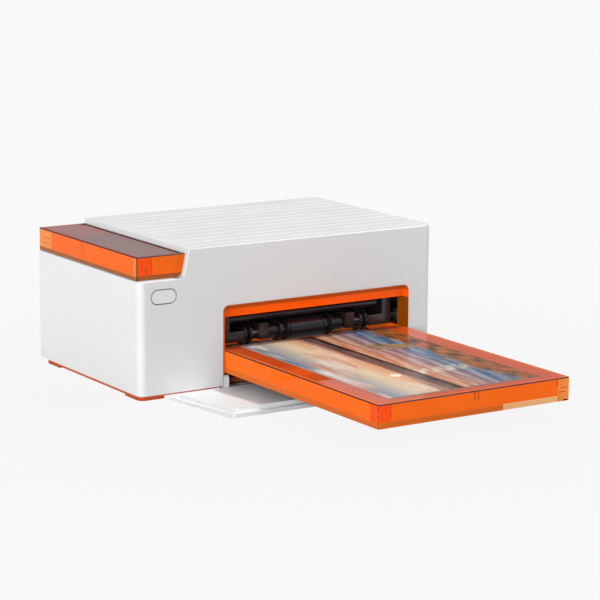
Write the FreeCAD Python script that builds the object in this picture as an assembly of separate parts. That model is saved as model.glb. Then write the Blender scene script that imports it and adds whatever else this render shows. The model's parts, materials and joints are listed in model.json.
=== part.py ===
import FreeCAD
import Part
import math
import os

# Compact photo printer, in millimetres. It is drawn with X across the casing from its middle,
# Y back from the casing's front face and Z up from the table. Saving moves every piece so that
# the origin lies under the middle of the whole footprint, tray included.

# Paper, which sets the width and length of most pieces
paper_w = 101.6
paper_l = 152.4
tear_end = 12.7
stack_h = 5.2

# Casing
open_to_right = 16.7
frame_to_rear = 22.8
head_to_top = 8.4
case_bottom = 2.6
case_wall = 2.4
case_corner_r = 4.4
case_edge = 0.6
cut_over = 1.0

# Grooves across the top
groove_first = 7.9
groove_pitch = 10.56
groove_count = 11
groove_w = 1.6
groove_depth = 0.35
groove_margin = 1.6

# Recess for the storage box, at the top left
recess_top_w = 32.8
recess_bottom_w = 29.2
recess_drop = 16.4
recess_r = 3.5

# Front opening and its coloured liner
open_past_paper = 14.95
open_over_rollers = 9.3
open_r = 3.5
open_edge = 0.5
notch_w = 3.9
notch_drop = 0.3
liner_lip = 0.6
liner_wall = 2.2
liner_depth = 11.0
liner_below_tray = 1.3
band_recess = 4.8
band_below_window = 1.7
liner_gap = 0.2

# Rear opening and rear cover
rear_margin = 10.0
rear_open_drop = 23.8
rear_gap = 0.3
rear_flange = 2.2
rear_flange_t = 1.6
rear_boss_share = 0.62
slot_over_platen = 2.0
slot_h = 3.4
slot_over = 2.2
vent_count = 9
vent_w = 2.0
vent_h = 12.0
vent_pitch = 6.0
vent_over_slot = 6.6
vent_from_mid = 30.0

# Ribbon door in the right side
door_front = 3.3
door_rear = 4.0
door_below = 17.4
door_gap = 0.3
door_t = 2.0
door_r = 2.0
door_pin_r = 0.6
door_pin_grip = 3.4
door_pull_w = 16.0
door_pull_h = 4.0
door_pull_depth = 0.8
door_rib_t = 1.2
door_rib_h = 1.4
door_rib_count = 4

# Power button
button_from_left = 7.8
button_w = 16.6
button_h = 8.3
button_drop = 9.8
button_gap = 0.35
button_front = 0.15
button_t = 3.0
button_flange = 0.9
button_flange_t = 1.0
button_flange_gap = 0.25
button_stem_r = 1.3
button_stem_end = 7.2
switch_front = 6.4
switch_back = 9.6
switch_side = 6.0
switch_pocket = 2.2
switch_slack = 0.3
button_board_t = 1.4
button_board_w = 27.0
button_board_h = 13.0
button_post_r = 1.6
button_post_in = 2.4

# Base plate, foot rails and screws
base_inset = 0.5
base_flange_z = 1.7
base_top = 4.6
base_inner_gap = 0.3
base_rear_inset = 9.4
base_notch_d = 8.4
base_slot_count = 8
base_slot_w = 2.4
base_slot_l = 30.0
base_slot_pitch = 7.0
base_slot_x_share = 0.36
base_slot_y_share = 0.55
rail_w = 16.4
rail_mid_z = 1.0
rail_pad_l = 18.0
boss_r = 3.2
boss_in = 6.4
boss_front_in = 14.0
boss_top = 22.0
screw_r = 1.3
screw_head_r = 2.5
screw_head_t = 1.2
screw_len = 9.0

# Fold-down front cover
cover_side_in = 17.0
cover_taper = 8.0
cover_y = 61.0
cover_gap = 0.4
cover_r = 3.0
cover_edge_rear = 1.5
cover_edge_front = 2.4
cover_top_rear = 3.0
cover_top_front = 4.7
cover_step = 4.0
cover_step_rear = 5.8
cover_tongue = 5.6
lug_w = 3.4
lug_r = 2.1
lug_gap = 0.3
cover_pin_y = 2.1
cover_pin_z = 6.6
cover_pin_r = 1.0
cover_pin_in = 2.6
bracket_back = 12.0
bracket_w = 6.0
bracket_gap = 0.2
bracket_face = 0.4

# Paper tray, its lid and what it holds
tray_side_gap = 0.35
tray_past_feed = 14.7
tray_bottom = 10.5
tray_over_stack = 3.0
spring_room = 2.5
sheet_rear_gap = 6.8
tray_wall = 2.6
tray_floor = 1.8
tray_r = 1.4
tray_inner_r = 1.0
lid_corner_r = 0.7
tray_rear_wall = 2.0
tray_rear_drop = 3.4
tray_rib_l = 1.0
tray_rib_count = 3
lid_gap = 0.3
lid_t = 1.8
lid_pin_from_liner = 4.0
lid_pin_drop = 1.5
lid_pin_r = 0.8
lid_lug_r = 1.4
lid_lug_w = 4.0
latch_w = 1.4
latch_l = 5.0
latch_drop = 5.0
latch_hook = 1.0
latch_in = 9.0
stack_gap = 0.3
fence_gap = 0.5
fence_t = 1.6
plate_t = 0.8
plate_inset = 1.0
spring_w = 12.0
spring_l = 26.0
spring_t = 0.4
print_t = 0.3
print_from_front = 8.9
print_offset = -0.75

# Tray guides inside the bay
guide_under = 5.0
guide_wall = 1.6
guide_gap = 0.3
guide_lip = 2.4
guide_lip_t = 0.9
guide_lip_rear = 4.7
guide_stop = 1.8
guide_stop_gap = 0.4

# Feed roller row, seen through the opening
feed_behind_liner = 7.3
feed_r = 6.7
feed_shaft_r = 2.4
feed_half = 11.5
disc_r = 6.6
disc_t = 1.2
disc_inner_at = 12.1
disc_inner_pitch = 5.8
disc_outer_at = 38.7
disc_outer_pitch = 3.8
disc_hub_r = 4.2
sleeve_r = 4.7
sleeve_at = 19.3
sleeve_l = 7.4
exit_r = 3.0
exit_shaft_r = 1.5
exit_past_paper = 3.2
nip_gap = 0.3

# Dark feed guide behind the liner, with the window for the rollers
panel_front = 6.3
panel_t = 1.6
panel_past_paper = 9.7
panel_over_tray = 0.8
panel_over_opening = 1.9
window_past_paper = 3.9
window_low = 3.2
window_over_rollers = 3.2
panel_rear = 6.9
print_slot_low_at = 5.2
print_slot_high_at = 8.8
print_slot_past_paper = 2.2
notch_slack = 0.7
shaft_bracket_at = 27.6
shaft_bracket_w = 6.4
shaft_bracket_over = 6.4

# Side frames and the shafts that they carry
run_gap = 0.05
frame_past_opening = 4.6
frame_t = 1.2
frame_past_pivot = 7.0
frame_over_head = 3.0
frame_chamfer = 14.0
frame_tab_w = 7.0
frame_tab_l = 12.0
frame_tabs_in = (44.0, 18.0)
bush_wall = 1.4
bush_l = 3.0
shaft_end = 1.4
tie_r = 2.0
tie_front_in = 5.0
tie_front_drop = 2.0
tie_rear_in = 8.0
tie_rear_up = 11.4

# Gears of the drive, module one
gear_module = 1.0
gear_w = 4.0
gear_to_frame = 1.0
gear_slack = 0.12
gear_tip_share = 0.95
gear_root_share = 1.2
gear_backlash = 0.12
pressure_angle = 20.0
feed_teeth = 24
idler_teeth = 24
platen_teeth = 24
takeup_teeth = 32
pinion_teeth = 10
web_r_share = 0.72
web_cut = 1.2
idler_angle = -14.7
platen_angle = 30.7
takeup_angle = 45.0
pinion_angle = 60.0
stud_r = 2.0
gear_hub_r = 4.5

# Motor and its plate
motor_plate_gap = 0.8
motor_plate_t = 1.2
motor_plate_margin = 3.5
motor_r = 12.0
motor_l = 28.0
motor_edge = 0.8
motor_neck_r = 4.0
motor_shaft_r = 1.0
motor_screw_at = 8.0
post_r = 2.2
post_from_feed = ((-5.7, 24.2), (37.7, -13.8), (5.7, -18.3))

# Print engine
platen_r = 7.0
platen_shaft_r = 3.0
platen_past_paper = 2.2
spool_core_r = 4.5
spool_bore_r = 2.5
spool_shaft_in = 10.0
supply_roll_r = 8.6
takeup_roll_r = 6.4
roll_past_paper = 1.2
shell_r = 10.5
shell_wall = 1.0
shell_past_paper = 11.7
shell_end_t = 1.6
mouth_from = 2.0
mouth_up = 0.4
film_t = 0.2
film_past_paper = 0.7
film_gap = 0.35
head_w = 6.0
head_t = 3.4
head_past_paper = 4.2
head_web_t = 3.6
head_arm_over = 2.54
head_arm_t = 2.4
head_pivot_behind = 5.55
head_pivot_drop = 4.6
head_ear_t = 3.0
head_ear_r = 4.2
head_fin_count = 4
head_fin_t = 1.0
head_fin_h = 4.4
head_fin_pitch = 5.0
ramp_t = 1.2
ramp_past_paper = 3.2

# Circuit board and sockets
board_from_left = 14.0
board_gap = 1.0
board_w = 28.0
board_from_rear = 4.4
board_l = 61.0
standoff_h = 5.4
board_t = 1.6
standoff_r = 2.6
standoff_in = 4.0
jack_in = 6.0
jack_w = 9.0
jack_h = 10.0
jack_l = 13.0
jack_r = 2.8
jack_depth = 9.0
jack_pin_r = 0.9
usb_in = 19.0
usb_w = 9.2
usb_h = 3.4
usb_l = 7.6
usb_wall = 0.4
usb_tongue_t = 0.7
socket_gap = 0.4
chip_side = 12.0
chip_t = 1.4
chip_y_share = 0.4
cap_r = 4.0
cap_h = 11.0
cap_y_share = 0.72
cap_x_share = 0.3

# Storage box and its lid
box_gap = 0.2
box_end_in = 3.0
box_wall = 2.0
box_floor = 1.6
box_drop = 2.7
box_edge_r = 0.7
box_lid_t = 1.8
box_lid_gap = 0.3
box_pin_in = 4.2
box_pin_drop = 1.7
box_pin_r = 0.7
box_barrel_r = 1.5
box_lid_edge = 0.5


def away(y, z, angle, distance):
    """A place at a distance and angle from (y, z) in the plane of the gears."""
    turn = math.radians(angle)
    return y + distance * math.cos(turn), z + distance * math.sin(turn)


def centres(teeth_a, teeth_b):
    """Distance between two gears in mesh."""
    return gear_module * (teeth_a + teeth_b) / 2 + gear_slack


# Widths across the machine, from the paper and what stands beside it
open_w = paper_w + 2 * open_past_paper
open_from_left = (board_from_left + board_w + board_gap + motor_plate_t + motor_plate_gap + gear_w
                  + gear_to_frame + frame_t + frame_past_opening)
case_w = open_from_left + open_w + open_to_right
left = -case_w / 2
right = case_w / 2
open_x0 = left + open_from_left
open_x1 = open_x0 + open_w
mid = (open_x0 + open_x1) / 2
tray_x0 = open_x0 + liner_lip + tray_side_gap
tray_x1 = open_x1 - liner_lip - tray_side_gap
fence_in = paper_w / 2 + fence_gap
frame_in_left = open_x0 - frame_past_opening
frame_in_right = open_x1 + frame_past_opening
frame_out_left = frame_in_left - frame_t
frame_out_right = frame_in_right + frame_t
gear_x1 = frame_out_left - gear_to_frame
gear_x0 = gear_x1 - gear_w
motor_plate_x1 = gear_x0 - motor_plate_gap
motor_plate_x0 = motor_plate_x1 - motor_plate_t
board_x0 = left + board_from_left
exit_half = paper_w / 2 + exit_past_paper
panel_half = paper_w / 2 + panel_past_paper
window_half = paper_w / 2 + window_past_paper
print_slot_half = paper_w / 2 + print_slot_past_paper
platen_half = paper_w / 2 + platen_past_paper
roll_half = paper_w / 2 + roll_past_paper
shell_half = paper_w / 2 + shell_past_paper
film_half = paper_w / 2 + film_past_paper
head_half = paper_w / 2 + head_past_paper
ramp_half = paper_w / 2 + ramp_past_paper
cover_w = case_w - 2 * cover_side_in
cover_end_w = cover_w - 2 * cover_taper

# Heights in the tray and at the feed row
floor_top = tray_bottom + tray_floor
stack_bottom = floor_top + spring_room + plate_t
stack_top = stack_bottom + stack_h
tray_top = stack_top + tray_over_stack
lid_under = tray_top - lid_t
lid_pin_z = tray_top - lid_pin_drop
tray_rear_z = tray_top - tray_rear_drop
feed_z = stack_top + stack_gap + feed_r
exit_z = feed_z + feed_r + nip_gap + exit_r
liner_bottom = tray_bottom - liner_below_tray
notch_top = liner_bottom - notch_drop
open_top = exit_z + exit_r + open_over_rollers
window_bottom = feed_z + window_low
window_top = exit_z + exit_r + window_over_rollers
band_bottom = window_top - band_below_window
panel_bottom = tray_top + panel_over_tray
panel_top = open_top + panel_over_opening
print_slot_low = feed_z + print_slot_low_at
print_slot_high = feed_z + print_slot_high_at
shaft_bracket_top = feed_z + shaft_bracket_over

# Places along the paper's way
feed_y = liner_depth + feed_behind_liner
panel_y = feed_y - panel_front
panel_back = feed_y + panel_rear
guide_y0 = panel_y + panel_t + guide_gap
guide_lip_y = feed_y + guide_lip_rear
lid_pin_y = liner_depth - lid_pin_from_liner
tray_in = feed_y + tray_past_feed
sheet_l = paper_l + 2 * tear_end
paper_front = tray_in - tray_rear_wall - sheet_rear_gap - sheet_l
tray_out = tray_wall + fence_gap - paper_front
lid_y0 = -tray_out + tray_wall + lid_gap

# Gear train and print engine
idler_y, idler_z = away(feed_y, feed_z, idler_angle, centres(feed_teeth, idler_teeth))
platen_y, platen_z = away(idler_y, idler_z, platen_angle, centres(idler_teeth, platen_teeth))
pinion_y, pinion_z = away(feed_y, feed_z, pinion_angle, centres(feed_teeth, pinion_teeth))
takeup_y, takeup_z = away(pinion_y, pinion_z, takeup_angle, centres(pinion_teeth, takeup_teeth))
supply_y = 2 * platen_y - takeup_y
supply_z = takeup_z
post_places = [(feed_y + y, feed_z + z) for y, z in post_from_feed]
head_arm_z = takeup_z + shell_r + head_arm_over
head_pivot_y = supply_y + shell_r + head_pivot_behind
head_pivot_z = head_arm_z - head_pivot_drop
frame_y0 = panel_y
frame_y1 = head_pivot_y + frame_past_pivot
frame_top = head_arm_z + head_arm_t + frame_over_head
frame_tab_front = frame_y1 - frame_tabs_in[0]
frame_tab_rear = frame_y1 - frame_tabs_in[1]
tie_places = ((frame_y0 + tie_front_in, frame_top - frame_chamfer - tie_front_drop),
              (frame_y1 - tie_rear_in, base_top + tie_rear_up))

# Casing round the engine
case_d = frame_y1 + frame_to_rear
case_top = head_arm_z + head_arm_t + head_fin_h + head_to_top
recess_floor = case_top - recess_drop
box_top = case_top - box_drop
box_pin_z = box_top - box_pin_drop
recess_slope = (recess_top_w - recess_bottom_w) / (case_top - recess_floor)
box_pin_x = (left + recess_bottom_w - 2 * box_gap + recess_slope * (box_top - recess_floor)
             - box_pin_in)
button_z = recess_floor - button_drop
rear_open_top = case_top - rear_open_drop
slot_z = platen_z + slot_over_platen
vent_z = slot_z + slot_h + vent_over_slot
door_y0 = takeup_y - shell_r - door_front
door_y1 = supply_y + shell_r + door_rear
door_z0 = takeup_z - shell_r - door_below
door_z1 = frame_top
board_y0 = case_d - board_from_rear - board_l
board_z = base_top + standoff_h
origin_shift = (tray_out - case_d) / 2


def save(name, *shapes):
    """Move a piece to the shared origin and write it."""
    shape = shapes[0] if len(shapes) == 1 else Part.Compound(list(shapes))
    shape = shape.removeSplitter() if len(shapes) == 1 else shape
    shape.translate(FreeCAD.Vector(0, origin_shift, 0))
    shape.exportStep("parts/" + name + ".step")


def block(x0, x1, y0, y1, z0, z1):
    return Part.makeBox(x1 - x0, y1 - y0, z1 - z0, FreeCAD.Vector(x0, y0, z0))


def rod_x(x0, x1, y, z, r):
    return Part.makeCylinder(r, x1 - x0, FreeCAD.Vector(x0, y, z), FreeCAD.Vector(1, 0, 0))


def rod_y(x, y0, y1, z, r):
    return Part.makeCylinder(r, y1 - y0, FreeCAD.Vector(x, y0, z), FreeCAD.Vector(0, 1, 0))


def rod_z(x, y, z0, z1, r):
    return Part.makeCylinder(r, z1 - z0, FreeCAD.Vector(x, y, z0), FreeCAD.Vector(0, 0, 1))


def prism(points, run):
    """Extrude a closed outline along a vector."""
    corners = [FreeCAD.Vector(*p) for p in points]
    return Part.Face(Part.makePolygon(corners + corners[:1])).extrude(FreeCAD.Vector(*run))


def prism_x(points, x0, x1):
    return prism([(x0, y, z) for y, z in points], (x1 - x0, 0, 0))


def prism_y(points, y0, y1):
    return prism([(x, y0, z) for x, z in points], (0, y1 - y0, 0))


def prism_z(points, z0, z1):
    return prism([(x, y, z0) for x, y in points], (0, 0, z1 - z0))


def hexagon(a, b, r):
    """Corners of a hexagon round (a, b)."""
    turns = [math.radians(60 * number) for number in range(6)]
    return [(a + r * math.cos(turn), b + r * math.sin(turn)) for turn in turns]


def near(value, places):
    return any(abs(value - place) < run_gap for place in places)


def edges_along(shape, axis, xs=None, ys=None, zs=None):
    """Straight edges along an axis whose middle lies at the places given."""
    found = []
    for edge in shape.Edges:
        line = edge.lastVertex().Point - edge.firstVertex().Point
        if edge.Length > 0 and abs(line[axis]) > edge.Length - run_gap:
            point = edge.CenterOfMass
            fits = [near(v, p) for v, p in zip(point, (xs, ys, zs)) if p is not None]
            if all(fits):
                found.append(edge)
    return found


def rounded_z(x0, x1, y0, y1, z0, z1, r):
    """A block with its upright edges rounded."""
    body = block(x0, x1, y0, y1, z0, z1)
    return body.makeFillet(r, edges_along(body, 2))


def stadium_y(x0, x1, y0, y1, z, h):
    """A block with fully round ends, facing along Y."""
    body = block(x0 + h / 2, x1 - h / 2, y0, y1, z - h / 2, z + h / 2)
    return body.fuse([rod_y(x0 + h / 2, y0, y1, z, h / 2), rod_y(x1 - h / 2, y0, y1, z, h / 2)])


def arch_y(x0, x1, y0, y1, z0, z1, r):
    """A block along Y with its two upper edges rounded, as the front opening has."""
    body = block(x0, x1, y0, y1, z0, z1)
    return body.makeFillet(r, edges_along(body, 1, zs=(z1,)))


def recess_shape(grow, y0, y1):
    """The recess at the top left, grown by a wall when it is used inside the casing."""
    x0 = left - cut_over
    z0 = recess_floor - grow
    z1 = case_top + cut_over
    xb = left + recess_bottom_w + grow
    xt = xb + recess_slope * (z1 - z0)
    body = prism_y([(x0, z0), (xb, z0), (xt, z1), (x0, z1)], y0, y1)
    return body.makeFillet(recess_r + grow, edges_along(body, 1, xs=(xb,), zs=(z0,)))


def top_grooves():
    x0 = left + recess_top_w + groove_margin
    x1 = right - groove_margin
    cuts = []
    for number in range(groove_count):
        y = groove_first + number * groove_pitch
        cuts.append(prism_x([(y - groove_w / 2, case_top + cut_over), (y - groove_w / 2, case_top),
                             (y, case_top - groove_depth), (y + groove_w / 2, case_top),
                             (y + groove_w / 2, case_top + cut_over)], x0, x1))
    return cuts


def boss_places():
    xs = (left + boss_in, right - boss_in)
    return [(x, y) for x in xs for y in (boss_front_in, case_d - boss_front_in - boss_r)]


def button_posts():
    x_mid = left + button_from_left + button_w / 2
    reach = button_board_w / 2 - button_post_in
    return [(x_mid - reach, button_z), (x_mid + reach, button_z)]


def corner_notch(side, y0, y1, shrink):
    """Slanted notch in the casing beside each lower corner of the opening."""
    edge = open_x0 if side < 0 else open_x1
    out = side * notch_w
    inner = edge - side * (cut_over if shrink == 0 else -shrink)
    low = case_bottom - (cut_over if shrink == 0 else 0)
    return prism_y([(inner, low), (edge + out - side * shrink, low),
                    (edge + out - side * shrink, case_bottom),
                    (edge + side * shrink, notch_top - 2 * shrink), (inner, notch_top - 2 * shrink)],
                   y0, y1)


def rim_edges(body):
    """Edges of the casing's top and of the recess, where they meet the outer walls."""
    found = []
    inner_x = left + recess_bottom_w - 2 * recess_r
    for edge in body.Edges:
        bounds = edge.BoundBox
        at_top = near(bounds.ZMin, (case_top,))
        on_floor = near(bounds.ZMin, (recess_floor,)) and near(bounds.ZMax, (recess_floor,))
        across = bounds.YLength > case_d / 2 and bounds.XMin > inner_x
        on_end = near(bounds.YMin, (0, case_d)) and bounds.YLength < run_gap
        rising = on_end and bounds.ZMin > recess_floor - run_gap and bounds.XMin > inner_x
        if at_top or (on_floor and not across) or (rising and bounds.XMax < right - case_corner_r):
            found.append(edge)
    return found


def main_casing():
    body = block(left, right, 0, case_d, case_bottom, case_top)
    body = body.makeFillet(case_corner_r, edges_along(body, 2))
    body = body.cut(recess_shape(0, -cut_over, case_d + cut_over))
    body = body.makeChamfer(case_edge, rim_edges(body))
    cavity = rounded_z(left + case_wall, right - case_wall, case_wall, case_d - case_wall,
                       case_bottom - cut_over, case_top - case_wall, case_corner_r - case_wall)
    body = body.cut(cavity.cut(recess_shape(case_wall, -cut_over, case_d + cut_over)))
    opening = arch_y(open_x0, open_x1, -cut_over, case_wall + cut_over,
                     case_bottom - cut_over, open_top, open_r)
    body = body.cut(opening)
    mouth = [edge for edge in body.Edges if near(edge.BoundBox.YMax, (0,))
             and edge.BoundBox.XMin > open_x0 - run_gap and edge.BoundBox.XMax < open_x1 + run_gap
             and edge.BoundBox.ZMax < open_top + run_gap and edge.BoundBox.ZMax > case_bottom + run_gap]
    body = body.makeChamfer(open_edge, mouth)
    rear = block(left + rear_margin, right - rear_margin, case_d - case_wall - cut_over,
                 case_d + cut_over, case_bottom - cut_over, rear_open_top)
    door = block(right - case_wall - cut_over, right + cut_over, door_y0, door_y1,
                 door_z0, door_z1)
    door = door.makeFillet(door_r, edges_along(door, 0, zs=(door_z1,)))
    pins = rod_y(right - door_t / 2, door_y0 - door_pin_grip, door_y1 + door_pin_grip,
                 door_z0 + door_gap + door_t / 2, door_pin_r)
    gap = button_gap
    x0 = left + button_from_left
    button = stadium_y(x0 - gap, x0 + button_w + gap, -cut_over, case_wall + cut_over,
                       button_z, button_h + 2 * gap)
    notches = [corner_notch(side, -cut_over, case_wall + cut_over, 0) for side in (-1, 1)]
    for side in (-1, 1):
        edge = open_x0 if side < 0 else open_x1
        end = edge + side * (cover_pin_in + bracket_gap)
        notches.append(rod_x(min(edge, end), max(edge, end), cover_pin_y, cover_pin_z,
                             cover_pin_r + bracket_gap))
    body = body.cut([rear, door, pins, button] + notches + top_grooves())
    for x, y in boss_places():
        top = boss_top
        post = rod_z(x, y, base_top + base_inner_gap, top, boss_r)
        wall_x = left + case_wall if x < 0 else right - case_wall
        web = block(min(x, wall_x), max(x, wall_x), y - boss_r / 2, y + boss_r / 2,
                    base_top + base_inner_gap, top)
        body = body.fuse([post, web]).cut(rod_z(x, y, base_top - cut_over, top - cut_over, screw_r))
    for x, z in button_posts():
        body = body.fuse(rod_y(x, case_wall, switch_back, z, button_post_r))
    for x, z in rear_screw_places():
        side = math.copysign(1, x)
        x_in = x - side * boss_r
        x_wall = side * (case_w / 2 - case_wall)
        y1 = case_d - case_wall
        lug = block(min(x_in, x_wall), max(x_in, x_wall), y1 - boss_r, y1, z - boss_r, z + boss_r)
        body = body.fuse(lug).cut(rod_y(x, y1 - boss_r - cut_over, case_d + cut_over, z, screw_r))
    return body


def rear_screw_places():
    x = case_w / 2 - rear_margin - rear_gap - boss_r
    z_low = case_bottom + (rear_open_top - case_bottom) * (1 - rear_boss_share)
    z_high = case_bottom + (rear_open_top - case_bottom) * rear_boss_share
    return [(side * x, z) for side in (-1, 1) for z in (z_low, z_high)]


def socket_holes(y0, y1):
    low = board_z + board_t
    cuts = []
    for x, w, h in ((board_x0 + jack_in, jack_w, jack_h), (board_x0 + usb_in, usb_w, usb_h)):
        cuts.append(block(x - w / 2 - socket_gap, x + w / 2 + socket_gap, y0, y1,
                          low - socket_gap, low + h + socket_gap))
    return cuts


def rear_cover():
    x0 = left + rear_margin + rear_gap
    x1 = right - rear_margin - rear_gap
    z0 = case_bottom + rear_gap
    z1 = rear_open_top - rear_gap
    y0 = case_d - case_wall
    plate = block(x0, x1, y0, case_d, z0, z1)
    lip = block(x0 + rear_margin, x1 - rear_margin, y0 - rear_flange_t - rear_gap,
                y0, z1 - rear_flange, z1 + rear_flange)
    lip = lip.cut(block(x0, x1, y0 - rear_gap, y0 + cut_over, z1, z1 + rear_flange + cut_over))
    body = plate.fuse(lip)
    over = cut_over
    slot = block(mid - paper_w / 2 - slot_over, mid + paper_w / 2 + slot_over,
                 y0 - over, case_d + over, slot_z, slot_z + slot_h)
    cuts = [slot] + socket_holes(y0 - over, case_d + over)
    for number in range(vent_count):
        x = vent_from_mid + (number - (vent_count - 1) / 2) * vent_pitch
        cuts.append(block(x - vent_w / 2, x + vent_w / 2, y0 - over, case_d + over,
                          vent_z, vent_z + vent_h))
    for x, z in rear_screw_places():
        cuts.append(rod_y(x, y0 - over, case_d + over, z, screw_r))
        cuts.append(rod_y(x, case_d - screw_head_t, case_d + over, z, screw_head_r))
    return body.cut(cuts)


def rear_screws():
    made = []
    for x, z in rear_screw_places():
        head = rod_y(x, case_d - screw_head_t, case_d, z, screw_head_r)
        shank = prism_y(hexagon(x, z, screw_r), case_d - screw_head_t - screw_len / 2,
                        case_d - screw_head_t)
        made.append(head.fuse(shank))
    return made


def base_plate():
    inset = base_inset
    y1 = case_d - base_rear_inset
    flange = rounded_z(left + inset, right - inset, inset, y1, base_flange_z, case_bottom,
                       case_corner_r - inset)
    gap = case_wall + base_inner_gap
    floor = rounded_z(left + gap, right - gap, gap, case_d - gap, case_bottom, base_top,
                      case_corner_r - gap)
    body = flange.fuse(floor)
    cuts = [block(open_x0 - bracket_gap, open_x1 + bracket_gap, -cut_over, base_notch_d,
                  base_flange_z - cut_over, base_top + cut_over)]
    for side in (-1, 1):
        edge = open_x0 if side < 0 else open_x1
        cuts.append(block(min(edge, edge + side * notch_w), max(edge, edge + side * notch_w),
                          -cut_over, base_notch_d, base_flange_z - cut_over, base_top + cut_over))
    for x, y in boss_places():
        cuts.append(rod_z(x, y, base_flange_z - cut_over, base_top + cut_over, screw_r))
        cuts.append(rod_z(x, y, base_flange_z - cut_over, base_flange_z + screw_head_t, screw_head_r))
    for number in range(base_slot_count):
        x = left + base_slot_x_share * case_w + number * base_slot_pitch
        y = base_slot_y_share * case_d
        cuts.append(block(x, x + base_slot_w, y, y + base_slot_l,
                          base_flange_z - cut_over, base_top + cut_over))
    return body.cut(cuts)


def foot_rail(side):
    """Rubber rail under one side, full height at its two ends only."""
    inset = base_inset
    y1 = case_d - base_rear_inset
    outer = left + inset if side < 0 else right - inset
    inner = outer - side * (rail_w - inset)
    x0, x1 = min(outer, inner), max(outer, inner)
    body = block(x0, x1, inset, y1, 0, base_flange_z)
    corner = edges_along(body, 2, xs=(outer,))
    body = body.makeFillet(case_corner_r - inset, corner)
    body = body.cut(block(x0 - cut_over, x1 + cut_over, inset + rail_pad_l, y1 - rail_pad_l,
                          -cut_over, rail_mid_z))
    for x, y in boss_places():
        body = body.cut(rod_z(x, y, -cut_over, base_flange_z + cut_over, screw_head_r))
    return body


def case_screws():
    made = []
    for x, y in boss_places():
        seat = base_flange_z + screw_head_t
        head = rod_z(x, y, base_flange_z, seat, screw_head_r)
        made.append(head.fuse(prism_z(hexagon(x, y, screw_r), seat, seat + screw_len)))
    return made


def cover_tier(rear_half, end_half, y_end, y_rear, z_rear, z_end, r):
    """One tier of the front cover: a tapered outline under a sloping top."""
    body = prism_z([(-rear_half, y_rear), (-end_half, y_end), (end_half, y_end),
                    (rear_half, y_rear)], 0, 2 * z_end)
    body = body.makeFillet(r, edges_along(body, 2))
    slope = (z_end - z_rear) / (y_rear - y_end)
    high = z_end + slope * cut_over
    low = z_rear - slope * cut_over
    under = prism_x([(y_end - cut_over, 0), (y_end - cut_over, high), (y_rear + cut_over, low),
                     (y_rear + cut_over, 0)], -rear_half - cut_over, rear_half + cut_over)
    return body.common(under)


def front_cover():
    half = cover_w / 2
    end_half = cover_end_w / 2
    lower = cover_tier(half, end_half, -cover_y, -cover_gap, cover_edge_rear, cover_edge_front,
                       cover_r)
    taper = (half - end_half) / (cover_y - cover_gap)
    upper_half = half - cover_step - taper * cover_step_rear
    upper = cover_tier(upper_half, end_half - cover_step, -cover_y + cover_step, -cover_step_rear,
                       cover_top_rear, cover_top_front, cover_r)
    x0 = open_x0 + lug_gap
    x1 = open_x1 - lug_gap
    tongue = block(x0, x1, -cover_step_rear, cover_tongue, 0, cover_edge_rear)
    body = lower.fuse([upper, tongue])
    for xa in (x0, x1 - lug_w):
        ear = block(xa, xa + lug_w, cover_pin_y - lug_r, cover_pin_y + lug_r, 0, cover_pin_z)
        ear = ear.fuse(rod_x(xa, xa + lug_w, cover_pin_y, cover_pin_z, lug_r))
        body = body.fuse(ear)
        body = body.cut(rod_x(xa - cut_over, xa + lug_w + cut_over, cover_pin_y, cover_pin_z,
                              cover_pin_r + run_gap))
    return body


def cover_brackets():
    """Pivot blocks that fill the slanted notches and stand on the base plate."""
    made = []
    for side in (-1, 1):
        edge = open_x0 if side < 0 else open_x1
        face = corner_notch(side, bracket_face, bracket_back, bracket_gap)
        outer = edge + side * bracket_w
        inner = edge + side * bracket_gap
        foot = block(min(outer, inner), max(outer, inner), case_wall + bracket_gap, bracket_back,
                     base_top, notch_top)
        body = face.fuse(foot)
        low = block(min(outer, inner) - cut_over, max(outer, inner) + cut_over,
                    base_notch_d, bracket_back + cut_over, 0, base_top)
        body = body.cut([low, cover_pin(side)])
        made.append(body)
    return made


def cover_pin(side):
    edge = open_x0 if side < 0 else open_x1
    outer = edge + side * cover_pin_in
    inner = edge - side * (lug_gap + lug_w)
    return rod_x(min(outer, inner), max(outer, inner), cover_pin_y, cover_pin_z, cover_pin_r)


def slot_frame():
    """Liner of the front opening: a thin lip through the casing and a deeper frame behind it."""
    lip = arch_y(open_x0, open_x1, 0, case_wall, liner_bottom, open_top, open_r)
    wide = liner_wall - liner_lip
    deep = block(open_x0 - wide, open_x1 + wide, case_wall + liner_gap, liner_depth,
                 liner_bottom, open_top + wide)
    joint = arch_y(open_x0, open_x1, case_wall - liner_gap, case_wall + 2 * liner_gap,
                   liner_bottom, open_top, open_r)
    inner = arch_y(open_x0 + liner_lip, open_x1 - liner_lip, -cut_over, liner_depth + cut_over,
                   liner_bottom - cut_over, open_top - liner_lip, open_r - liner_lip)
    band = block(open_x0 + liner_lip, open_x1 - liner_lip, band_recess, liner_depth,
                 band_bottom, open_top)
    return lip.fuse([joint, deep]).cut(inner).fuse(band)


def tray_ribs():
    """Short upright ribs between the tray's walls and its paper fences."""
    made = []
    for number in range(tray_rib_count):
        y = -tray_out + (number + 1) * tray_out / (tray_rib_count + 1)
        for x0, x1 in ((tray_x0 + tray_wall / 2, mid - fence_in), (mid + fence_in,
                                                                  tray_x1 - tray_wall / 2)):
            made.append(block(x0, x1, y, y + tray_rib_l, floor_top, lid_under - stack_gap))
    return made


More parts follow.
